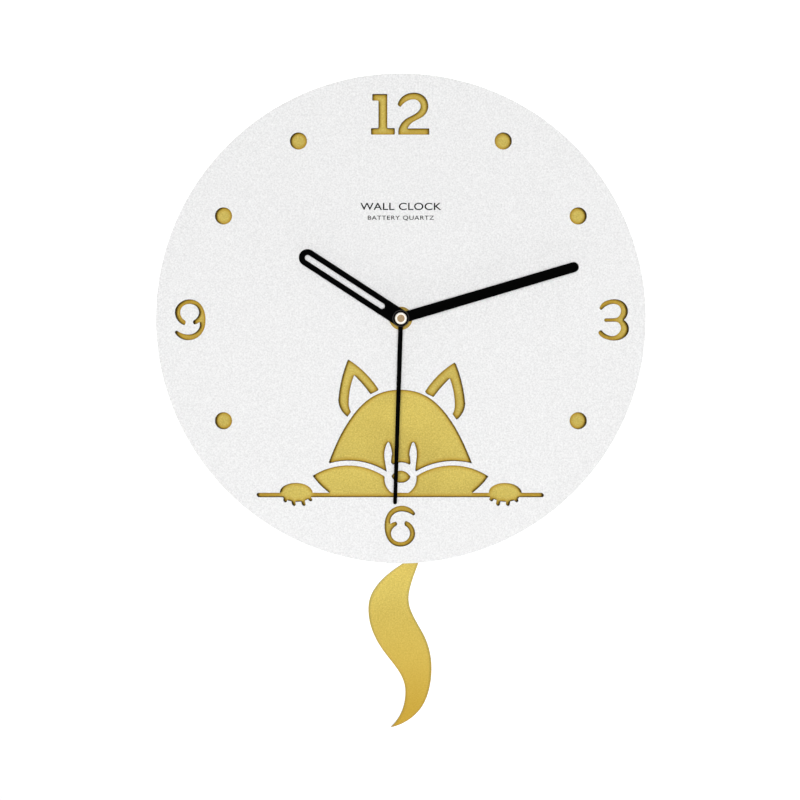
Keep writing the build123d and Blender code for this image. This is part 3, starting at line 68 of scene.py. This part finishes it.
# ------------------------------------------------------------------ material helpers
class Surface:
    """A Principled material and short ways to add nodes to it."""

    def __init__(self, name, color=(0.5, 0.5, 0.5), roughness=0.5, metallic=0.0, **sockets):
        self.material = bpy.data.materials.new(name)
        self.material.use_nodes = True
        self.tree = self.material.node_tree
        self.bsdf = next(n for n in self.tree.nodes if n.type == "BSDF_PRINCIPLED")
        self.bsdf.inputs["Base Color"].default_value = (*color, 1)
        self.bsdf.inputs["Roughness"].default_value = roughness
        self.bsdf.inputs["Metallic"].default_value = metallic
        for socket, value in sockets.items():
            self.bsdf.inputs[socket.replace("_", " ")].default_value = value
        self.place = self.node("ShaderNodeTexCoord").outputs["Object"]
        self.height = None

    def node(self, kind, **values):
        made = self.tree.nodes.new(kind)
        for key, value in values.items():
            if hasattr(made, key):
                setattr(made, key, value)
            else:
                made.inputs[key.replace("_", " ")].default_value = value
        return made

    def link(self, out, into):
        self.tree.links.new(out, into)

    def stretched(self, scale, turn=(0, 0, 0)):
        """Object coordinates, turned and then stretched along the axes."""
        mapping = self.node("ShaderNodeMapping")
        mapping.inputs["Rotation"].default_value = turn
        mapping.inputs["Scale"].default_value = scale
        self.link(self.place, mapping.inputs["Vector"])
        return mapping.outputs["Vector"]

    def noise(self, scale, detail=2.0, roughness=0.5, place=None):
        made = self.node("ShaderNodeTexNoise", Scale=scale, Detail=detail, Roughness=roughness)
        self.link(place or self.place, made.inputs["Vector"])
        return made.outputs["Fac"]

    def span(self, value, low, high, to_low, to_high):
        """value moved from the range low..high to the range to_low..to_high, and held there."""
        made = self.node("ShaderNodeMapRange")
        for socket, number in zip(made.inputs[1:5], (low, high, to_low, to_high)):
            socket.default_value = number
        self.link(value, made.inputs[0])
        return made.outputs[0]

    def math(self, operation, a, b):
        made = self.node("ShaderNodeMath", operation=operation)
        for socket, value in zip(made.inputs, (a, b)):
            if isinstance(value, (int, float)):
                socket.default_value = value
            else:
                self.link(value, socket)
        return made.outputs[0]

    def blend(self, share, a, b):
        """Colour a where share is 0 and colour b where it is 1."""
        made = self.node("ShaderNodeMix", data_type="RGBA")
        self.link(share, made.inputs[0])
        for socket, value in zip((made.inputs[6], made.inputs[7]), (a, b)):
            if isinstance(value, tuple):
                socket.default_value = (*value, 1)
            else:
                self.link(value, socket)
        return made.outputs[2]

    def place_on(self, axis):
        split = self.node("ShaderNodeSeparateXYZ")
        self.link(self.place, split.inputs[0])
        return split.outputs[axis]

    def near_walls(self, reach):
        """1 in the open, falling towards 0 beside walls and in corners, within reach metres."""
        made = self.node("ShaderNodeAmbientOcclusion", samples=8, Distance=reach)
        return made.outputs["AO"]

    def beside_wall(self, side, reach):
        """Like near_walls, but only for walls on one side: -1 is left and 1 is right."""
        made = self.node("ShaderNodeAmbientOcclusion", samples=8, Distance=reach)
        lean = self.node("ShaderNodeCombineXYZ", X=side * 0.90, Y=-0.42, Z=0.10)
        self.link(lean.outputs[0], made.inputs["Normal"])
        return made.outputs["AO"]

    def along(self, axis, edge):
        """0 before a plane square to an axis, 1 after it; edge is in metres."""
        return self.span(self.place_on(axis), edge - 0.0001, edge + 0.0001, 0, 1)

    def from_axis(self, radius):
        """0 within a radius of the dial's axis and 1 outside it."""
        offset = self.node("ShaderNodeVectorMath", operation="SUBTRACT")
        self.link(self.place, offset.inputs[0])
        offset.inputs[1].default_value = dial_centre
        flat = self.node("ShaderNodeVectorMath", operation="MULTIPLY")
        self.link(offset.outputs[0], flat.inputs[0])
        flat.inputs[1].default_value = (1, 0, 1)
        length = self.node("ShaderNodeVectorMath", operation="LENGTH")
        self.link(flat.outputs[0], length.inputs[0])
        return self.span(length.outputs["Value"], radius - 0.0001, radius + 0.0001, 0, 1)

    def facing(self):
        """How far the true surface normal points to the back: -1 front, 0 side, 1 back."""
        geometry = self.node("ShaderNodeNewGeometry")
        split = self.node("ShaderNodeSeparateXYZ")
        self.link(geometry.outputs["True Normal"], split.inputs[0])
        return split.outputs["Y"]

    def color(self, out):
        self.link(out, self.bsdf.inputs["Base Color"])

    def roughness(self, out):
        self.link(out, self.bsdf.inputs["Roughness"])

    def metallic(self, out):
        self.link(out, self.bsdf.inputs["Metallic"])

    def bump(self, value, strength, depth):
        """Adds a layer of relief, depth in metres, above the layers before it."""
        made = self.node("ShaderNodeBump", Strength=strength, Distance=depth)
        self.link(value, made.inputs["Height"])
        if self.height:
            self.link(self.height, made.inputs["Normal"])
        self.height = made.outputs["Normal"]
        self.link(self.height, self.bsdf.inputs["Normal"])


PAINTED_SHADE_DRIFT = 60 * MM  # painted shade is drawn on the outer side of a cut-out, in full this far out
WARM_SHADE_REACH, THIN_SHADE_REACH, PAINTED_SHADE_REACH = 2.8 * MM, 0.7 * MM, 1.7 * MM  # reaches of the painted shade, from a cut wall
TAIL_FADE = 0.65  # share of the tail's height, from its tip, over which the painted shade on its gold fades out
BURNT_DARK, BURNT_LIGHT = (0.010, 0.005, 0.002), (0.085, 0.034, 0.010)
FIBRE_DARK, FIBRE_LIGHT = (0.26, 0.155, 0.075), (0.40, 0.26, 0.14)


def burnt_edge(surface):
    """Laser-charred wall: dark, with the fine streaks that the beam leaves through the board."""
    streaks = surface.noise(900, 3, 0.6, surface.stretched((1, 0.06, 1)))
    blotches = surface.noise(60, 2)
    share = surface.math("MULTIPLY", surface.span(streaks, 0.35, 0.75, 0, 1), blotches)
    return surface.blend(share, BURNT_DARK, BURNT_LIGHT), streaks


def bare_fibreboard(surface):
    """Raw brown back of a fibreboard, with pressed fibres."""
    fibres = surface.noise(420, 6, 0.75, surface.stretched((1, 1, 0.45), (0, 0.4, 0)))
    clouds = surface.noise(14, 3)
    share = surface.math("MULTIPLY", surface.span(fibres, 0.3, 0.7, 0.2, 1), clouds)
    return surface.blend(share, FIBRE_DARK, FIBRE_LIGHT), fibres


def cut_board(name, front_color, grain, metallic, front_roughness):
    """Laser-cut board: a finished front, a bare brown back and charred walls between them."""
    surface = Surface(name)
    facing = surface.facing()
    front = surface.span(facing, -0.6, -0.5, 1, 0)
    back = surface.span(facing, 0.5, 0.6, 0, 1)
    wall_color, streaks = burnt_edge(surface)
    back_color, fibres = bare_fibreboard(surface)
    face_color = front_color(surface)
    color = surface.blend(front, wall_color, face_color)
    surface.color(surface.blend(back, color, back_color))
    fine = surface.noise(grain, 2, 0.6)
    satin = surface.span(fine, 0.3, 0.7, front_roughness - 0.05, front_roughness + 0.07)
    rough = surface.node("ShaderNodeMix", data_type="FLOAT")
    surface.link(front, rough.inputs[0])
    rough.inputs[2].default_value = 0.86
    surface.link(satin, rough.inputs[3])
    surface.roughness(rough.outputs[0])
    if metallic:
        surface.metallic(surface.math("MULTIPLY", front, metallic))
    surface.bump(fine, 0.35, 0.00006)
    surface.bump(surface.math("MULTIPLY", fibres, back), 0.5, 0.00012)
    surface.bump(surface.math("MULTIPLY", streaks, surface.span(facing, -0.6, -0.5, 0, 1)), 0.4, 0.0001)
    return surface.material


def white_face(surface):
    """White satin lacquer with fine grey speckle, like eggshell paper."""
    speckle = surface.noise(1000, 2, 0.65)
    drift = surface.noise(9, 2)
    share = surface.math(
        "ADD", surface.span(speckle, 0.25, 0.75, 0, 0.95), surface.span(drift, 0.3, 0.7, 0, 0.05)
    )
    return surface.blend(share, (0.66, 0.66, 0.662), (0.92, 0.92, 0.92))


def gold_face(surface):
    """Satin gold foil with fine grain, and painted shade: darker towards the tail's tip, warmer and darker
    by walls, darkest in corners.
    """
    speckle = surface.noise(1100, 2, 0.6)
    clouds = surface.noise(22, 3, 0.55)
    share = surface.math(
        "ADD", surface.span(speckle, 0.3, 0.7, 0, 0.7), surface.span(clouds, 0.35, 0.65, 0, 0.3)
    )
    foil = surface.blend(share, (0.67, 0.545, 0.145), (0.885, 0.77, 0.25))
    tail_low, tail_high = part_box("tail")
    upper_tail = tail_low.z + TAIL_FADE * (tail_high.z - tail_low.z)
    # painted shade: the tail's gold darker and more orange towards its tip
    tail_shade = surface.span(surface.place_on("Z"), tail_low.z, upper_tail, 1, 0)
    color = surface.blend(tail_shade, foil, (0.68, 0.48, 0.07))
    # painted shade: the gold turns warmer and darker within a few millimetres of each cut wall
    warm_shade = surface.span(surface.near_walls(WARM_SHADE_REACH), 0.6, 0.98, 0, 1)
    color = surface.blend(warm_shade, (0.70, 0.48, 0.065), color)
    # painted shade: a thin brown line along each cut wall
    thin = surface.span(surface.near_walls(THIN_SHADE_REACH), 0.5, 0.85, 0, 1)
    color = surface.blend(thin, (0.40, 0.21, 0.04), color)
    # painted shade: a dark crescent on the gold beside the outer wall of each cut-out
    across = surface.place_on("X")
    for side in (-1, 1):
        outwards = surface.span(across, -PAINTED_SHADE_DRIFT * side, PAINTED_SHADE_DRIFT * side, 0.15, 1)
        clear = surface.span(surface.beside_wall(side, PAINTED_SHADE_REACH), 0.40, 0.85, 1, 0)
        color = surface.blend(surface.math("MULTIPLY", outwards, clear), color, (0.04, 0.015, 0.003))
    # painted shade: near black in corners and narrow cuts, such as the claws
    corners = surface.span(surface.near_walls(PAINTED_SHADE_REACH), 0.27, 0.43, 1, 0)
    return surface.blend(corners, color, (0.02, 0.008, 0.002))


def painted_hand():
    """Satin black paint on thin aluminium, with faint orange peel."""
    surface = Surface("black_paint", (0.001, 0.001, 0.001), 0.6, Specular_IOR_Level=0.01)
    peel = surface.noise(800, 2)
    surface.roughness(surface.span(peel, 0.3, 0.7, 0.55, 0.68))
    wear = surface.noise(120, 4, 0.7)
    worn = surface.span(wear, 0.55, 0.8, 0, 1)
    surface.color(surface.blend(worn, (0.0003, 0.0003, 0.0003), (0.001, 0.001, 0.001)))
    surface.bump(peel, 0.25, 0.00004)
    return surface.material


RIM_START = 4.75 * MM
SOCKET_RING = 2.3 * MM


def boss_with_painted_rim_highlight():
    """The black boss over the hands, with a painted grey highlight along the rim."""
    surface = Surface("black_paint_painted_rim_highlight", (0.001, 0.001, 0.001), 0.6, Specular_IOR_Level=0.02)
    mottle = surface.noise(1500, 3, 0.7)
    # painted highlight: a grey ring along the boss's rim
    rim = surface.math("MULTIPLY", surface.from_axis(RIM_START), surface.span(mottle, 0.3, 0.6, 0.3, 1))
    surface.color(surface.blend(rim, (0.001, 0.001, 0.001), (0.11, 0.10, 0.095)))
    surface.roughness(surface.span(mottle, 0.3, 0.7, 0.5, 0.65))
    surface.bump(mottle, 0.2, 0.00003)
    return surface.material


def socket_cap():
    """Nickel rim of the second hand's socket, round a brownish middle that is a painted reflection of the
    gold foil.
    """
    surface = Surface("nickel_socket", (0.93, 0.88, 0.80), 0.6)
    mottle = surface.noise(1300, 4, 0.7)
    ring = surface.from_axis(SOCKET_RING)
    # painted reflection: the brown middle stands for the gold foil mirrored in the socket
    middle = surface.blend(surface.span(mottle, 0.3, 0.7, 0, 1), (0.22, 0.15, 0.08), (0.44, 0.32, 0.18))
    bright = surface.blend(surface.span(mottle, 0.4, 0.8, 0, 1), (0.96, 0.93, 0.87), (0.80, 0.72, 0.60))
    surface.color(surface.blend(ring, middle, bright))
    surface.metallic(surface.span(ring, 0, 1, 0.7, 0.35))
    surface.roughness(surface.span(mottle, 0.3, 0.7, 0.58, 0.7))
    surface.bump(mottle, 0.15, 0.00003)
    return surface.material


def metal(name, dark, light, roughness, grain=700, stretch=(1, 1, 1), bump=0.2):
    """Bare metal with tool marks, dull patches and slight tarnish."""
    surface = Surface(name, light, roughness, 1.0)
    marks = surface.noise(grain, 3, 0.6, surface.stretched(stretch))
    patches = surface.noise(55, 4, 0.6)
    surface.color(surface.blend(surface.span(patches, 0.35, 0.75, 0, 1), light, dark))
    surface.roughness(surface.span(marks, 0.3, 0.7, roughness - 0.07, roughness + 0.12))
    surface.bump(marks, bump, 0.00003)
    return surface.material


def moulded(name, dark, light, roughness, grain=1400, relief=0.00006, **sockets):
    """Moulded plastic with a spark-eroded texture, flow marks and dust-dulled patches."""
    surface = Surface(name, light, roughness, 0.0, **sockets)
    texture = surface.noise(grain, 3, 0.7)
    flow = surface.noise(35, 3)
    surface.color(surface.blend(surface.span(flow, 0.3, 0.7, 0, 1), dark, light))
    surface.roughness(surface.span(texture, 0.3, 0.7, roughness - 0.08, roughness + 0.1))
    surface.bump(texture, 0.45, relief)
    return surface.material


def circuit_board():
    """Green solder mask with copper tracks showing through as lighter lines."""
    surface = Surface("solder_mask", (0.02, 0.16, 0.06), 0.32, Coat_Weight=0.4)
    cells = surface.node("ShaderNodeTexVoronoi", distance="CHEBYCHEV", Scale=380.0)
    surface.link(surface.place, cells.inputs["Vector"])
    tracks = surface.span(cells.outputs["Distance"], 0.42, 0.5, 0, 1)
    surface.color(surface.blend(tracks, (0.012, 0.11, 0.04), (0.05, 0.27, 0.10)))
    surface.bump(tracks, 0.4, 0.00004)
    return surface.material


CAN_CRIMP = 1.2 * MM  # bare steel that shows past the sleeve at each end
BAND_SHARE = 0.24  # of the can, the lighter band at the positive end


def dry_cell():
    """Sleeved dry cell: blue sleeve, copper-coloured band at the positive end, steel ends."""
    low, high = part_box("battery")
    terminal = high.x - 1.3 * MM
    surface = Surface("dry_cell_sleeve", (0.02, 0.08, 0.22), 0.28, Coat_Weight=0.4)
    fine = surface.noise(900, 3, 0.6)
    scuffs = surface.noise(90, 5, 0.75, surface.stretched((0.3, 1, 1)))
    sleeve = surface.blend(surface.span(scuffs, 0.5, 0.75, 0, 1), (0.012, 0.06, 0.18), (0.03, 0.10, 0.26))
    copper = surface.blend(surface.span(fine, 0.3, 0.7, 0, 1), (0.55, 0.27, 0.10), (0.68, 0.36, 0.15))
    band = surface.along("X", terminal - BAND_SHARE * (terminal - low.x))
    steel = surface.math(
        "MAXIMUM",
        surface.along("X", terminal - CAN_CRIMP),
        surface.math("SUBTRACT", 1, surface.along("X", low.x + CAN_CRIMP)),
    )
    printed = surface.blend(band, sleeve, copper)
    surface.color(surface.blend(steel, printed, (0.62, 0.62, 0.63)))
    surface.metallic(surface.math("MAXIMUM", steel, surface.math("MULTIPLY", band, 0.8)))
    surface.roughness(surface.span(scuffs, 0.35, 0.75, 0.2, 0.42))
    surface.bump(scuffs, 0.2, 0.00004)
    return surface.material


def winding(axis_scale):
    """Fine enamelled copper wire, turn beside turn."""
    surface = Surface("copper_winding", (0.5, 0.2, 0.08), 0.3, 0.85, Coat_Weight=0.5)
    turns = surface.node("ShaderNodeTexWave", wave_type="BANDS", bands_direction="X", Scale=axis_scale)
    surface.link(surface.place, turns.inputs["Vector"])
    surface.color(surface.blend(turns.outputs["Fac"], (0.22, 0.07, 0.025), (0.66, 0.30, 0.13)))
    surface.bump(turns.outputs["Fac"], 0.7, 0.0001)
    return surface.material


slot_materials = {
    "white_board": cut_board("white_lacquered_board", white_face, 1400, 0.0, 0.55),
    "gold_board": cut_board("gold_foil_board", gold_face, 1200, 0.92, 0.82),
    "black_hand": painted_hand(),
    "bright_metal": metal("polished_nickel", (0.66, 0.60, 0.50), (0.90, 0.87, 0.80), 0.16, 1500),
    "brass": metal("turned_brass", (0.42, 0.28, 0.07), (0.72, 0.52, 0.17), 0.27, 1200),
    "steel": metal("zinc_plated_steel", (0.33, 0.34, 0.36), (0.62, 0.63, 0.65), 0.34, 500, (1, 1, 0.08)),
    "black_plastic": moulded("black_abs", (0.012, 0.012, 0.013), (0.024, 0.024, 0.025), 0.52),
    "natural_plastic": moulded("natural_acetal", (0.66, 0.63, 0.55), (0.80, 0.78, 0.71), 0.38, 900),
    "red_plastic": moulded("red_acetal", (0.36, 0.018, 0.012), (0.52, 0.035, 0.022), 0.34, 900),
    "board_green": circuit_board(),
    "chip_black": moulded("black_epoxy", (0.006, 0.006, 0.007), (0.014, 0.014, 0.015), 0.22, 600),
    "copper_wire": winding(2200),
    "magnet": moulded("sintered_ferrite", (0.035, 0.035, 0.038), (0.085, 0.085, 0.09), 0.62, 1700),
    "black_rubber": moulded("black_rubber", (0.010, 0.010, 0.010), (0.022, 0.022, 0.022), 0.82, 1100),
    "cell_wrap": dry_cell(),
}
dull_brass = metal("dull_brass", (0.26, 0.17, 0.03), (0.42, 0.30, 0.07), 0.66, 1200)
own_materials = {
    "brass_washer": dull_brass,
    "hex_nut": dull_brass,
    "threaded_bush": dull_brass,
    "hour_hand_collet": dull_brass,
    "minute_hand_collet": dull_brass,
    "second_hand_boss": boss_with_painted_rim_highlight(),
    "second_hand_socket": socket_cap(),
}
for part in frame["record"]["subparts"]:
    mesh = nodes[part["node"]].data
    mesh.materials.clear()
    mesh.materials.append(own_materials.get(part["node"], slot_materials[part["material_slot"]]))


# ------------------------------------------------------------------ mesh helpers
def piece(name, bm, slot_name, body=BODY, smooth=40):
    """A finished mesh object that rides on a body and takes a slot's material."""
    bmesh.ops.recalc_face_normals(bm, faces=bm.faces)
    mesh = bpy.data.meshes.new(name)
    bm.to_mesh(mesh)
    bm.free()
    made = bpy.data.objects.new(name, mesh)
    bpy.context.scene.collection.objects.link(made)
    mesh.materials.append(slot_materials[slot_name])
    if smooth:
        mesh.polygons.foreach_set("use_smooth", [True] * len(mesh.polygons))
        mesh.set_sharp_from_angle(angle=radians(smooth))
    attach(made, body)
    return made


def raised(name, outline, back, slot_name):
    """A flat shape standing proud of the rear cover: (x, z) corners in order, seen from behind."""
    bm = bmesh.new()
    deep = [bm.verts.new((x, back, z)) for x, z in outline]
    proud = [bm.verts.new((x, back + MARK_HEIGHT, z)) for x, z in outline]
    count = len(outline)
    for corner in range(count):
        beside = (corner + 1) % count
        bm.faces.new((deep[corner], deep[beside], proud[beside], proud[corner]))
    bm.faces.new(proud)
    bm.faces.new(deep)
    return piece(name, bm, slot_name)


# ------------------------------------------------------------------ dial print
PRINT_THICKNESS = 0.00006
PRINT_STRETCH = 1.22  # the letters are wide for their height


def dial_print(name, text, cap_height, width, height_on_dial, spread=0.0):
    """One line of thin print, centred on the dial; spread thickens its strokes."""
    curve = bpy.data.curves.new(name, "FONT")
    curve.body = text
    curve.align_x = "CENTER"
    curve.align_y = "CENTER"
    curve.size = cap_height / 0.69
    curve.extrude = PRINT_THICKNESS / 2
    curve.offset = spread
    source = bpy.data.objects.new(name, curve)
    bpy.context.scene.collection.objects.link(source)
    for _ in range(3):
        bpy.context.view_layer.update()
        letters = len(text) - 1
        missing = width / PRINT_STRETCH - source.dimensions.x
        curve.space_character += missing / (letters * 0.6 * curve.size)
    bpy.context.view_layer.update()
    mesh = bpy.data.meshes.new_from_object(source.evaluated_get(bpy.context.evaluated_depsgraph_get()))
    bpy.data.objects.remove(source)
    bm = bmesh.new()
    bm.from_mesh(mesh)
    low = min(v.co.x for v in bm.verts)
    high = max(v.co.x for v in bm.verts)
    middle = (low + high) / 2
    for vert in bm.verts:
        x, y, z = vert.co
        vert.co = Vector((
            dial_centre.x + PRINT_STRETCH * (x - middle),
            DIAL_FACE - PRINT_THICKNESS / 2 - z,
            dial_centre.z + height_on_dial + y,
        ))
    return piece(name, bm, "black_hand", smooth=0)


dial_print("dial_print_large", "WALL CLOCK", 4.3 * MM, 49.6 * MM, 68.2 * MM, 0.05 * MM)
dial_print("dial_print_small", "BATTERY QUARTZ", 2.5 * MM, 40.5 * MM, 61.4 * MM, 0.03 * MM)


# ------------------------------------------------------------------ moulded marks on the back
MARK_HEIGHT = 0.3 * MM
MARK_SIZE, MARK_STROKE = 5.0 * MM, 1.3 * MM
MARK_GAP = 4.2 * MM  # from the battery bay to the middle of a mark
ARROW_REACH = 2.6 * MM  # from the knob's rim to the middle of the arrow
ARROW_START, ARROW_TURN = 20, 115  # degrees, and the arrow is drawn seen from behind


def plus_sign(x, z):
    half, thin = MARK_SIZE / 2, MARK_STROKE / 2
    corners = []
    for turn in range(4):
        across, up = round(cos(pi / 2 * turn)), round(sin(pi / 2 * turn))
        for far, off in ((half, -thin), (half, thin), (thin, thin)):
            corners.append((x + far * across - off * up, z + far * up + off * across))
    return corners


def minus_sign(x, z):
    half, thin = MARK_SIZE / 2, MARK_STROKE / 2
    return [(x - half, z - thin), (x + half, z - thin), (x + half, z + thin), (x - half, z + thin)]


def round_arrow(x, z, radius):
    """A bent arrow round the setting knob."""
    steps = 24
    thin = MARK_STROKE / 2
    outer, inner = [], []
    for step in range(steps + 1):
        turn = radians(ARROW_START + ARROW_TURN * step / steps)
        outer.append((x + (radius + thin) * cos(turn), z + (radius + thin) * sin(turn)))
        inner.append((x + (radius - thin) * cos(turn), z + (radius - thin) * sin(turn)))
    end = radians(ARROW_START + ARROW_TURN)
    tip = end + MARK_SIZE * 0.55 / radius
    head = [
        (x + (radius + 2.3 * thin) * cos(end), z + (radius + 2.3 * thin) * sin(end)),
        (x + radius * cos(tip), z + radius * sin(tip)),
        (x + (radius - 2.3 * thin) * cos(end), z + (radius - 2.3 * thin) * sin(end)),
    ]
    return outer + head + inner[::-1]


def make_moulded_marks():
    """Battery polarity signs and the setting arrow, moulded on the rear cover."""
    cover_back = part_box("movement_rear_cover")[1].y
    cell_low, cell_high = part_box("battery")
    knob_low, knob_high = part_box("setting_knob")
    under_cell = cell_low.z - MARK_GAP
    raised("cover_plus_sign", plus_sign(cell_high.x - MARK_SIZE, under_cell), cover_back, "black_plastic")
    raised("cover_minus_sign", minus_sign(cell_low.x + MARK_SIZE, under_cell), cover_back, "black_plastic")
    knob_middle = (knob_low + knob_high) / 2
    reach = (knob_high.x - knob_low.x) / 2 + ARROW_REACH
    raised("setting_arrow", round_arrow(knob_middle.x, knob_middle.z, reach), cover_back, "black_plastic")


make_moulded_marks()

# ------------------------------------------------------------------ light, floor and camera
CAMERA_DISTANCE = 2.0  # from the dial's face
DIAL_SHARE = 0.6128  # of the frame's width
FRAMING_SHIFT = (-0.0011, -0.1021)  # the dial sits above the middle of the frame
FLOOR_DROP, FLOOR_FRONT = 0.42, 0.5
BACKDROP_DISTANCE = 3.0
ROOM_BRIGHTEST = 34.7
ROOM = (  # how far a direction points backwards, -1 to 1, and the room's brightness there
    (-1.0, 34.7), (-0.9922, 34.7), (-0.9843, 0.14), (-0.2, 0.15), (0.1, 1.0), (1.0, 1.0),
)


def make_stage():
    """Pale floor that curves up into a backdrop far behind the clock."""
    bm = bmesh.new()
    low = cad_box[0][2] - FLOOR_DROP
    bend = 0.8
    profile = [(-FLOOR_FRONT, low), (BACKDROP_DISTANCE - bend, low)]
    for step in range(1, 17):
        turn = pi / 2 * step / 16
        profile.append((BACKDROP_DISTANCE - bend + bend * sin(turn), low + bend - bend * cos(turn)))
    profile.append((BACKDROP_DISTANCE, 3.0))
    rows = [[bm.verts.new((x, y, z)) for x in (-4.0, 4.0)] for y, z in profile]
    for row, following in zip(rows, rows[1:]):
        bm.faces.new((row[0], row[1], following[1], following[0]))
    mesh = bpy.data.meshes.new("floor")
    bm.to_mesh(mesh)
    bm.free()
    mesh.polygons.foreach_set("use_smooth", [True] * len(mesh.polygons))
    floor = bpy.data.objects.new("floor", mesh)
    bpy.context.scene.collection.objects.link(floor)
    paper = Surface("pale_paper", (0.93, 0.93, 0.93), 0.9)
    paper.bsdf.inputs["Emission Color"].default_value = (1, 1, 1, 1)
    paper.bsdf.inputs["Emission Strength"].default_value = 0.35
    paper.roughness(paper.span(paper.noise(40, 2), 0.3, 0.7, 0.85, 0.95))
    mesh.materials.append(paper.material)


def make_light():
    """A round softbox far behind the camera, in a room that is dim in front and bright behind."""
    world = bpy.data.worlds.new("studio")
    world.use_nodes = True
    tree = world.node_tree
    background = tree.nodes["Background"]
    background.inputs["Color"].default_value = (1, 1, 1, 1)
    direction = tree.nodes.new("ShaderNodeTexCoord").outputs["Generated"]
    split = tree.nodes.new("ShaderNodeSeparateXYZ")
    tree.links.new(direction, split.inputs[0])
    place = tree.nodes.new("ShaderNodeMapRange")
    place.inputs["From Min"].default_value = -1.0
    tree.links.new(split.outputs["Y"], place.inputs["Value"])
    ramp = tree.nodes.new("ShaderNodeValToRGB")
    stops = ramp.color_ramp.elements
    while len(stops) < len(ROOM):
        stops.new(1.0)
    for stop, (backwards, brightness) in zip(stops, ROOM):
        stop.position = (backwards + 1) / 2
        stop.color = (*(brightness / ROOM_BRIGHTEST,) * 3, 1)
    tree.links.new(place.outputs[0], ramp.inputs[0])
    room = tree.nodes.new("ShaderNodeMath")
    room.operation = "MULTIPLY"
    room.inputs[1].default_value = ROOM_BRIGHTEST
    tree.links.new(ramp.outputs[0], room.inputs[0])
    seen = tree.nodes.new("ShaderNodeLightPath").outputs["Is Camera Ray"]
    plain = tree.nodes.new("ShaderNodeMix")
    plain.inputs[3].default_value = 1.0
    tree.links.new(seen, plain.inputs[0])
    tree.links.new(room.outputs[0], plain.inputs[2])
    tree.links.new(plain.outputs[0], background.inputs["Strength"])
    bpy.context.scene.world = world


def make_camera():
    camera = bpy.data.cameras.new("camera")
    camera.sensor_width = 36.0
    camera.lens = camera.sensor_width * CAMERA_DISTANCE * DIAL_SHARE / DIAL_WIDTH
    camera.shift_x, camera.shift_y = FRAMING_SHIFT
    camera.clip_end = 20
    eye = bpy.data.objects.new("camera", camera)
    eye.location = (dial_centre.x, DIAL_FACE - CAMERA_DISTANCE, dial_centre.z)
    eye.rotation_euler = (pi / 2, 0, 0)
    bpy.context.scene.collection.objects.link(eye)
    bpy.context.scene.camera = eye


make_stage()
make_light()
make_camera()
bpy.context.scene.view_settings.view_transform = "Standard"
